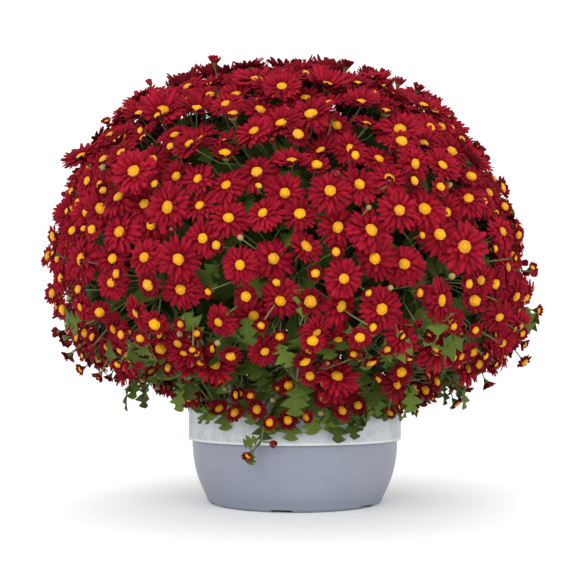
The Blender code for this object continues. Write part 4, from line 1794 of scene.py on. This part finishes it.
@dataclass
class Spray:
    """One stem with its part of the dome."""

    name: str
    low: float
    high: float
    turn: float
    half_turn: float
    dome: Dome
    stem_radius: Span = (0.0030, 0.0017)
    stem_narrow: float = 0.85
    stem_buried: float = 0.012
    stem_lower: float = 0.45
    stem_bend: float = 0.03
    crown_bend: float = 0.02
    crown_share: float = 0.86
    bloom_shares: Span = (0.60, 0.99)
    leafy_from: float = 0.75
    leaf_count: int = 6
    low_leaf_count: int = 22
    low_from: float = 0.92
    low_nearest: float = -0.012
    nearest: float = 0.017
    deepest: float = 0.034
    leaf_lean: float = 0.4
    leaf_up: float = 0.15
    leaf_lengths: Span = (0.026, 0.038)
    leaf_arches: Span = (0.3, 1.0)
    leaf_folds: Span = (0.05, 0.35)
    leaf_shades: Span = (0.15, 0.90)
    leaf_shares: Span = (0.7, 1.0)
    inner_leaf_count: int = 60
    inner_shares: Span = (0.50, 0.88)
    inner_lengths: Span = (0.044, 0.066)
    inner_arch: float = 0.5
    inner_fold: float = 0.1
    # Painted shade: darker tones for the leaves deep in the bush.
    inner_painted_shades: Span = (0.1, 0.5)

    def __post_init__(self) -> None:
        """Works out the spray's middle."""
        self.whole = self.half_turn >= math.pi
        self.middle = 0.0 if self.whole else (self.low + self.high) / 2

    def holds(self, reach: float, turn: float) -> bool:
        """Says whether a place on the dome belongs to this spray.

        Args:
            reach: How far out it is, from 0 to 1.
            turn: Its angle about the axis.

        Returns:
            Whether it does.
        """
        if not self.low <= reach < self.high:
            return False
        return self.whole or abs(angle_between(turn, self.turn)) <= self.half_turn

    def stem_point(self, share: float) -> Array:
        """A point of the main stem, from the soil at 0 to its crown at 1."""
        return np.array(self.dome.flow(self.middle, self.turn, share * self.crown_share))

    def stem_way(self, share: float) -> Array:
        """The way that the main stem grows at a share."""
        return unit(self.stem_point(share + 0.02) - self.stem_point(share - 0.02))

    def random_place(self, rng: random.Random) -> tuple[float, float]:
        """A random reach and angle within the spray's part of the dome."""
        reach = math.sqrt(rng.uniform(self.low**2, min(self.high, LAST_REACH) ** 2))
        return reach, self.turn + rng.uniform(-1, 1) * self.half_turn

    def grow(self, growth: Growth, blooms: Sequence[Bloom]) -> None:
        """Grows the stem, its blooms and its leaves.

        Args:
            growth: The batches.
            blooms: The spray's blooms.
        """
        rng = growth.rng
        bend = self.stem_bend
        foot = self.stem_point(0.0) - RISE * self.stem_buried
        lower, crown = self.stem_point(self.stem_lower), self.stem_point(1.0)
        way, last_way = self.stem_way(self.stem_lower), self.stem_way(1.0)
        wide, slim = self.stem_radius
        narrow = wide * self.stem_narrow
        growth.add_tube((foot, foot + RISE * bend, lower - way * bend, lower), (wide, narrow), 0.2)
        growth.add_tube((lower, lower + way * bend, crown - last_way * self.crown_bend, crown),
                        (narrow, slim), 0.3)
        for bloom in blooms:
            share = rng.uniform(*self.bloom_shares)
            growth.add_bloom(bloom, self.stem_point(share), self.stem_way(share))
        for _ in range(self.leaf_count if self.middle < self.leafy_from else self.low_leaf_count):
            self._add_leaf(growth)
        for _ in range(self.inner_leaf_count):
            self._add_inner_leaf(growth)
        growth.build()

    def _add_leaf(self, growth: Growth) -> None:
        """Adds a lobed leaf, below the blooms or, near the lower edge, between them.

        Args:
            growth: The batches.
        """
        rng = growth.rng
        shade = rng.uniform(*self.leaf_shades)
        reach, turn = self.random_place(rng)
        nearest = self.low_nearest if reach > self.low_from else self.nearest
        depth = rng.uniform(nearest, self.deepest)
        normal = self.dome.normal(reach, turn)
        middle = np.array(self.dome.point(reach, turn) - normal * depth)
        lean = Vector(scatter(rng)) * self.leaf_lean
        face = np.array((normal + lean + UP * self.leaf_up).normalized())
        along = np.array(normal * 0.5 + Vector(scatter(rng)))
        forward = unit(np.cross(np.cross(face, along), face) + face * 0.25)
        length = rng.uniform(*self.leaf_lengths)
        root = middle - forward * length * 0.5
        start = self.stem_point(rng.uniform(*self.leaf_shares))
        growth.add_leaf(root, forward, face, length, rng.uniform(*self.leaf_arches),
                        rng.uniform(*self.leaf_folds), shade, start)

    def _add_inner_leaf(self, growth: Growth) -> None:
        """Adds a plain leaf deep in the bush, in its shade, with a darker tone as painted shade.

        Args:
            growth: The batches.
        """
        rng, leaf = growth.rng, growth.kit.plain_leaf
        reach, turn = self.random_place(rng)
        root = np.array(self.dome.flow(reach, turn, rng.uniform(*self.inner_shares)))
        lean = Vector(scatter(rng)) + self.dome.normal(reach, turn)
        face = np.array(lean.normalized())
        forward = unit(np.cross(face, np.array(scatter(rng))))
        length = rng.uniform(*self.inner_lengths)
        points = shaped_leaf(leaf, root - forward * length / 2, forward, face, length,
                             self.inner_arch, self.inner_fold)
        # Painted shade: the inner leaf gets a darker tone.
        shade = rng.uniform(*self.inner_painted_shades)
        growth.greens.add(leaf, LIMITS.hold(points, root), shade, Green.LEAF.mark)


@dataclass
class Shoot:
    """One low stem over the rim, with its share of the leafy skirt."""

    turn: float
    half_turn: float
    route: tuple[Span, ...] = (
        (0.100, 0.128), (0.100, 0.139), (0.112, 0.160), (0.145, 0.173), (0.180, 0.161),
        (0.206, 0.138),
    )
    skirt: tuple[Span, ...] = (
        (0.262, 0.196), (0.244, 0.172), (0.208, 0.150), (0.174, 0.134), (0.156, 0.117),
        (0.149, 0.100), (0.147, 0.080),
    )
    twig_radius: float = 0.0020
    twig_narrow: float = 0.95
    twig_tip: float = 0.5
    first_leaves: tuple[Point, ...] = (
        (0.34, -56, -24), (0.45, 52, -34), (0.62, -42, -38), (0.80, 34, -44), (0.94, -10, -60),
    )
    first_lengths: Span = (0.029, 0.035)
    first_shades: Span = (0.2, 0.8)
    knee: Point = (-0.037, -0.143, 0.083)
    hanging_radius: Span = (0.0011, 0.0008)
    hanging: tuple[tuple[Stage, float, float, float], ...] = (
        (Stage.OPENING, -0.050, -0.142, 0.067), (Stage.COLOURED_BUD, -0.026, -0.144, 0.079),
    )
    hanging_leaves: tuple[tuple[float, float, float, float], ...] = (
        (-0.046, 0.069, -0.2, 0.014), (-0.039, 0.084, -3.0, 0.019),
    )
    flank_short: float = 0.24
    left_in: float = 0.024
    leaf_count: int = 46
    leaf_spread: float = 1.1
    leaf_low: float = 0.88
    leaf_in: float = 0.020
    leaf_droop: Span = (-60.0, 0.0)
    leaf_more_droop: float = 45.0
    leaf_heading: float = 38.0
    leaf_lengths: Span = (0.024, 0.036)
    leaf_arches: Span = (0.3, 1.1)
    leaf_folds: Span = (0.0, 0.35)
    leaf_shades: Span = (0.15, 1.0)
    blooms: tuple[tuple[Stage, int], ...] = (
        (Stage.UNDER, 4), (Stage.YOUNG, 8), (Stage.OPENING, 7), (Stage.COLOURED_BUD, 3),
        (Stage.GREEN_BUD, 3),
    )
    open_lowest: float = 0.55
    young_lowest: float = 0.84
    bloom_out: float = 0.010
    bloom_lean: float = 0.25
    bloom_up: Span = (-0.1, 0.5)
    bloom_scales: Span = (0.9, 1.12)
    open_shades: Span = (0.4, 0.9)
    young_shades: Span = (0.0, 0.5)

    @staticmethod
    def _point(line: Sequence[Span], share: float, turn: float) -> Array:
        """A point of a line that is given in the plane of an angle.

        Args:
            line: The line's radii and heights.
            share: How far along it the point is, from 0 to 1.
            turn: The angle about the axis.

        Returns:
            The point.
        """
        places = np.linspace(0.0, 1.0, len(line))
        radius = np.interp(share, places, [point[0] for point in line])
        height = np.interp(share, places, [point[1] for point in line])
        return outward(turn) * radius + RISE * height

    def twig_point(self, share: float) -> Array:
        """A point of the twig, from the soil at 0 to its tip at 1."""
        return self._point(self.route, share, self.turn)

    def grow(self, growth: Growth) -> None:
        """Grows the twig, its leaves and its small blooms.

        Args:
            growth: The batches.
        """
        rng = growth.rng
        out = outward(self.turn)
        across = np.array([-out[1], out[0], 0.0])
        foot, bend, knee, over, fall, tip = (
            self.twig_point(share) for share in np.linspace(0.0, 1.0, 6)
        )
        wide = self.twig_radius
        narrow = wide * self.twig_narrow
        growth.add_tube((foot, bend + RISE * 0.012, knee - out * 0.008, knee), (wide, narrow), 0.4)
        growth.add_tube((knee, over - out * 0.004, fall, tip), (narrow, wide * self.twig_tip), 0.5)
        for share, heading, slope in self.first_leaves:
            heading, slope = math.radians(heading), math.radians(slope)
            flat = out * math.cos(heading) + across * math.sin(heading)
            forward = flat * math.cos(slope) + RISE * math.sin(slope)
            growth.add_leaf(self._point(self.route[2:], share, self.turn), forward,
                            RISE + flat * 0.5, rng.uniform(*self.first_lengths), 0.8, 0.25,
                            rng.uniform(*self.first_shades))
        for _ in range(self.leaf_count):
            self._add_skirt_leaf(growth)
        for stage, count in self.blooms:
            for _ in range(count):
                self._add_small_bloom(growth, stage)
        knee_turn = math.atan2(self.knee[1], self.knee[0])
        if abs(angle_between(knee_turn, self.turn)) < self.half_turn:
            self._add_hanging_twig(growth)
        growth.build()

    def _add_hanging_twig(self, growth: Growth) -> None:
        """Adds the twig that hangs down over the band, with two small blooms and two leaves.

        Args:
            growth: The batches.
        """
        out = outward(self.turn)
        knee = np.array(self.knee)
        root = self.twig_point(0.4)
        growth.add_tube((root, root + out * 0.05, knee + RISE * 0.04, knee),
                        self.hanging_radius, 0.6)
        for stage, *place in self.hanging:
            axis = (Vector(place) - Vector(self.knee)).normalized() + Vector(out) * 0.9
            bloom = Bloom(Vector(place), axis.normalized(), 1.0, self.turn, stage, 0.95, 0.3)
            growth.add_bloom(bloom, knee, -RISE)
        for across, height, slope, length in self.hanging_leaves:
            place = np.array([across, self.knee[1], height])
            growth.add_leaf(place, np.array([slope, 0.0, -1.0]), out, length, 0.5, 0.2, 0.7, knee)

    def _lowest(self, turn: float) -> float:
        """The share of the skirt that the leaves reach down to: less on the flanks."""
        return 1.0 - self.flank_short * math.cos(turn) ** 2

    def _skirt_point(self, share: float, turn: float) -> Array:
        """A point of the skirt, which is drawn in on the left."""
        drawn_in = self.left_in * max(-math.cos(turn), 0.0) ** 2 * math.sin(math.pi * share)
        return self._point(self.skirt, share, turn) - outward(turn) * drawn_in

    def _add_skirt_leaf(self, growth: Growth) -> None:
        """Adds one drooping leaf of the skirt, on its stalk from the twig.

        Args:
            growth: The batches.
        """
        rng = growth.rng
        turn = self.turn + rng.uniform(-self.leaf_spread, self.leaf_spread) * self.half_turn
        share = rng.random() ** self.leaf_low * self._lowest(turn)
        out = outward(turn)
        side = np.array([-out[1], out[0], 0.0])
        tip = self._skirt_point(share, turn) - out * rng.uniform(0.0, self.leaf_in) * (1.0 - share)
        slope = math.radians(rng.uniform(*self.leaf_droop) - self.leaf_more_droop * share)
        heading = math.radians(rng.gauss(0, self.leaf_heading))
        flat = out * math.cos(heading) + side * math.sin(heading)
        forward = flat * math.cos(slope) + RISE * math.sin(slope)
        face = out * 0.8 + RISE * 0.9 + side * rng.gauss(0, 0.3)
        stalk_from = self._point(self.route[2:], min(max(1.0 - share, 0.05), 0.9), self.turn)
        length = rng.uniform(*self.leaf_lengths)
        root = tip - forward * length * 0.9
        growth.add_leaf(root, forward, face, length, rng.uniform(*self.leaf_arches),
                        rng.uniform(*self.leaf_folds), rng.uniform(*self.leaf_shades), stalk_from)

    def _add_small_bloom(self, growth: Growth, stage: Stage) -> None:
        """Adds one small bloom or bud among the skirt's leaves.

        Args:
            growth: The batches.
            stage: How far it has opened.
        """
        rng = growth.rng
        is_open = stage is Stage.UNDER
        lowest = self.open_lowest if is_open else self.young_lowest
        turn = self.turn + rng.uniform(-1, 1) * self.half_turn
        share = rng.random() * lowest * self._lowest(turn)
        out = outward(turn)
        centre = self._skirt_point(share, turn) + out * rng.uniform(0.0, self.bloom_out)
        lean = Vector(scatter(rng)) * self.bloom_lean
        axis = (Vector(out) + UP * rng.uniform(*self.bloom_up) + lean).normalized()
        shade = rng.uniform(*(self.open_shades if is_open else self.young_shades))
        scale = rng.uniform(*self.bloom_scales)
        root = self._point(self.route[2:], rng.uniform(0.1, 0.9), self.turn)
        bloom = Bloom(Vector(centre), axis, 1.0, turn, stage, scale, shade)
        growth.add_bloom(bloom, root, unit(centre - root))


@dataclass
class Pot:
    """The moulded pan: foot ring with notches, swelling body, standing band and rounded rim."""

    segments: int = 128
    height: float = 0.143
    band_radius: float = 0.130
    band_flare: float = 0.0008
    band_bottom: float = 0.0755
    band_lip: float = 0.0016
    body_top_radius: float = 0.1255
    body_base_radius: float = 0.1035
    body_roundness: float = 2.15
    foot_corner: float = 0.006
    foot_inner_radius: float = 0.090
    foot_draft: float = 0.0015
    wall: float = 0.003
    base_recess: float = 0.0034
    rim_rounding: float = 0.0016
    band_wall: float = 0.005
    inner_step_height: float = 0.0795
    inner_side_low: float = 0.018
    inner_floor_radius: float = 0.1000
    notch_count: int = 6
    notch_first_degrees: float = -98.4
    notch_size: Point = (0.030, 0.024, 0.0062)
    notch_rounding: float = 0.0008
    drain_count: int = 6
    drain_radius: float = 0.0055
    drain_ring_radius: float = 0.066
    sharp: float = 32.0

    def body_radius(self, height: float) -> float:
        """Outer radius of the body at a height."""
        swell = 1.0 - (1.0 - clipped(height / self.band_bottom)) ** self.body_roundness
        return self.body_base_radius + (self.body_top_radius - self.body_base_radius) * swell

    def profile(self) -> list[Span]:
        """Draws the pan's section.

        Returns:
            Radii and heights from the middle of the base, over the rim, to the middle of the floor.
        """
        corner = self.foot_corner
        middle = self.body_radius(corner) - corner
        foot = [
            (middle + corner * math.sin(a), corner - corner * math.cos(a))
            for a in np.linspace(0.0, math.pi / 2, 6)
        ]
        heights = np.linspace(corner * 1.6, self.band_bottom + self.band_lip / 2, 12)
        sides = [(self.body_radius(height), height) for height in heights]
        top = self.band_radius + self.band_flare
        rounding = self.rim_rounding
        rim = [
            (top - rounding + rounding * math.cos(a),
             self.height - rounding + rounding * math.sin(a))
            for a in np.linspace(0.0, math.pi, 8)
        ]
        lip = self.band_lip / 2
        band = [
            (self.band_radius - lip, self.band_bottom - lip),
            (self.band_radius - lip * 0.3, self.band_bottom - lip * 0.7),
            (self.band_radius, self.band_bottom + lip),
            (self.band_radius + self.band_flare * 0.5, (self.band_bottom + self.height) / 2),
        ]
        floor = self.base_recess + self.wall
        inside = [(self.band_radius - self.band_wall, self.inner_step_height)]
        inside += self.inner_side(0.0)[::-1]
        inside += [(self.inner_floor_radius, floor), (0.001, floor)]
        base = [(0.001, self.base_recess),
                (self.foot_inner_radius - self.foot_draft, self.base_recess),
                (self.foot_inner_radius, 0.0)]
        return base + foot + sides + band + rim + inside

    def inner_side(self, gap: float) -> list[Span]:
        """Radii and heights a gap inside of the body's inner side, from low to high."""
        heights = np.linspace(self.inner_side_low, self.band_bottom - self.wall, 5)
        return [(self.body_radius(height) - self.wall - gap, height) for height in heights]

    def build(self) -> None:
        """Makes the pan."""
        bench = turned(self.profile(), self.segments)
        pan = bench.close()
        pan.name = "pot_pan"
        for cutter in self._notches() + self._drains():
            Bench.take(pan)
            bench.modify("BOOLEAN", operation="DIFFERENCE", solver="EXACT", object=cutter)
            bpy.data.objects.remove(cutter)
        finish_piece(pan, PotFinish().make(), Slot.POT, ("pot",), self.sharp)

    def _notches(self) -> list[Thing]:
        """Makes cutters across the foot ring.

        Returns:
            The cutters.
        """
        radius = (self.foot_inner_radius + self.body_base_radius) / 2
        cutters = []
        for turn in even_turns(self.notch_count, math.radians(self.notch_first_degrees)):
            bench = Bench(bpy.ops.mesh.primitive_cube_add, size=1.0, rotation=(0.0, 0.0, turn),
                          location=outward(turn) * radius, scale=self.notch_size)
            bpy.ops.mesh.bevel(offset=self.notch_rounding, segments=2, affect="EDGES")
            cutters.append(bench.close())
        return cutters

    def _drains(self) -> list[Thing]:
        """Makes round cutters through the floor.

        Returns:
            The cutters.
        """
        up = RISE * self.base_recess
        return [
            Bench(bpy.ops.mesh.primitive_cylinder_add, vertices=24, radius=self.drain_radius,
                  depth=self.wall * 4, location=outward(turn) * self.drain_ring_radius + up).close()
            for turn in even_turns(self.drain_count)
        ]


@dataclass
class Soil:
    """Lumpy compost that fills the pan to below its rim."""

    pot: Pot
    mound: float = 0.004
    gap: float = 0.0004
    lump: float = 0.0022
    lumps_to: float = 0.985
    rings: int = 26
    innermost: float = 0.02
    segments: int = 96
    sharp: float = 60.0

    def build(self) -> None:
        """Makes the soil."""
        edge = self.pot.band_radius - self.pot.band_wall - self.gap
        floor = self.pot.base_recess + self.pot.wall + self.gap
        profile = [(self.pot.inner_floor_radius - self.gap, floor), *self.pot.inner_side(self.gap)]
        profile += [(edge, self.pot.inner_step_height), (edge, SOIL_TOP)]
        for share in np.linspace(1.0, self.innermost, self.rings)[1:]:
            profile.append((edge * share, SOIL_TOP + self.mound * (1.0 - share**2)))
        soil = turned(profile, self.segments).close()
        soil.name = "soil_bed"
        self._roughen(soil, edge)
        finish_piece(soil, SoilFinish().make(), Slot.SOIL, ("soil",), self.sharp)

    def _roughen(self, soil: Thing, edge: float) -> None:
        """Raises lumps on the upper face.

        Args:
            soil: The soil.
            edge: Its radius at the top.
        """
        rng = random.Random(SEED + 5)
        for vertex in soil.data.vertices:
            radius = math.hypot(vertex.co.x, vertex.co.y)
            if vertex.co.z >= SOIL_TOP and radius < edge * self.lumps_to:
                vertex.co.z += rng.uniform(-1, 1) * self.lump


# Studio


@dataclass
class Studio:
    """Pale floor, soft lights, and a camera at the photograph's viewing angle."""

    distance: float = 1.1
    eye_height: float = 0.1473
    aim_height: float = 0.2612
    sideways: float = -0.0083
    focal_pixels: float = 881.4
    image_width: float = 576.0
    sensor: float = 36.0
    floor_radius: float = 6.0
    sky: Colour = (1.0, 1.0, 1.0)
    sky_strength: float = 1.12
    lamps: tuple[tuple[str, Point, float, float], ...] = (
        ("key_light", (-0.9, -2.4, 1.5), 1.8, 46.0),
        ("fill_light", (1.8, -2.0, 0.9), 1.8, 20.0),
        ("back_light", (0.3, 2.2, 2.0), 2.0, 16.0),
    )
    lamp_aim: Point = (0.0, 0.0, 0.28)

    def build(self) -> None:
        """Makes the whole studio."""
        self._floor()
        self._world()
        for lamp in self.lamps:
            self._lamp(*lamp)
        self._camera()
        bpy.context.scene.view_settings.view_transform = "Standard"

    def _floor(self) -> None:
        """Adds the floor."""
        bench = Bench(bpy.ops.mesh.primitive_circle_add, vertices=96, radius=self.floor_radius,
                      fill_type="NGON")
        bpy.ops.mesh.inset(thickness=self.floor_radius * 0.5)
        floor = bench.close()
        floor.name = "studio_floor"
        floor.data.materials.append(FloorFinish().make())

    def _world(self) -> None:
        """Sets the surroundings."""
        world = bpy.data.worlds.new("studio_surroundings")
        world.use_nodes = True
        background = world.node_tree.nodes["Background"]
        background.inputs["Color"].default_value = (*self.sky, 1.0)
        background.inputs["Strength"].default_value = self.sky_strength
        bpy.context.scene.world = world

    def _lamp(self, name: str, place: Point, size: float, power: float) -> None:
        """Adds a soft lamp aimed at the plant.

        Args:
            name: Its name.
            place: Where it hangs.
            size: Its width and height.
            power: Its power in watts.
        """
        data = bpy.data.lights.new(name, "AREA")
        data.size = size
        data.energy = power
        lamp = bpy.data.objects.new(name, data)
        lamp.location = place
        way = Vector(self.lamp_aim) - Vector(place)
        lamp.rotation_euler = way.to_track_quat("-Z", "Y").to_euler()
        bpy.context.scene.collection.objects.link(lamp)

    def _camera(self) -> None:
        """Adds the camera."""
        data = bpy.data.cameras.new("camera")
        data.sensor_width = self.sensor
        data.lens = self.sensor * self.focal_pixels / self.image_width
        camera = bpy.data.objects.new("camera", data)
        camera.location = (self.sideways, -self.distance, self.eye_height)
        way = Vector((0.0, self.distance, self.aim_height - self.eye_height))
        camera.rotation_euler = way.to_track_quat("-Z", "Y").to_euler()
        bpy.context.scene.collection.objects.link(camera)
        bpy.context.scene.camera = camera


@dataclass
class Plant:
    """All sprays and shoots."""

    sprays_per_band: tuple[int, ...] = (1, 5, 8, 10)
    shoot_count: int = 10
    spray_seed: int = SEED + 100
    shoot_seed: int = SEED + 200

    def build(self) -> None:
        """Grows the whole plant."""
        dome = Dome()
        layout = BloomLayout(dome)
        outer = layout.outer()
        blooms = outer + layout.fillers(outer) + layout.strays()
        nursery = Nursery()
        model = LeafModel()
        kit = Kit(nursery, model.blade(), model.plain_blade(), PetalFinish().make(),
                  DiscFinish().make(), GreenFinish().make())
        for index, spray in enumerate(self._sprays(dome)):
            growth = Growth(spray.name, kit, random.Random(self.spray_seed + index))
            own = [bloom for bloom in blooms if spray.holds(bloom.reach, bloom.turn)]
            spray.grow(growth, own)
        half_turn = math.pi / self.shoot_count
        for index in range(self.shoot_count):
            name = f"leafy_shoot_{index + 1:02d}"
            growth = Growth(name, kit, random.Random(self.shoot_seed + index))
            Shoot((index + 0.5) * 2 * half_turn, half_turn).grow(growth)

    def _sprays(self, dome: Dome) -> list[Spray]:
        """Shares the dome among the sprays in equal areas, band by band.

        Args:
            dome: The dome.

        Returns:
            The sprays, from the top down.
        """
        total = sum(self.sprays_per_band)
        sprays: list[Spray] = []
        above = 0
        for band, count in enumerate(self.sprays_per_band):
            low = math.sqrt(above / total)
            high = math.sqrt((above + count) / total)
            for index in range(count):
                turn = (index + 0.5 * (band % 2)) * math.tau / count
                name = f"spray_{len(sprays) + 1:02d}"
                sprays.append(Spray(name, low, high, turn, math.pi / count, dome))
            above += count
        return sprays


def main() -> None:
    """Builds the studio, the pot, the soil and the plant."""
    logging.basicConfig(level=logging.INFO, format="%(message)s")
    Studio().build()
    pot = Pot()
    pot.build()
    Soil(pot).build()
    Plant().build()


if __name__ == "__main__":
    main()
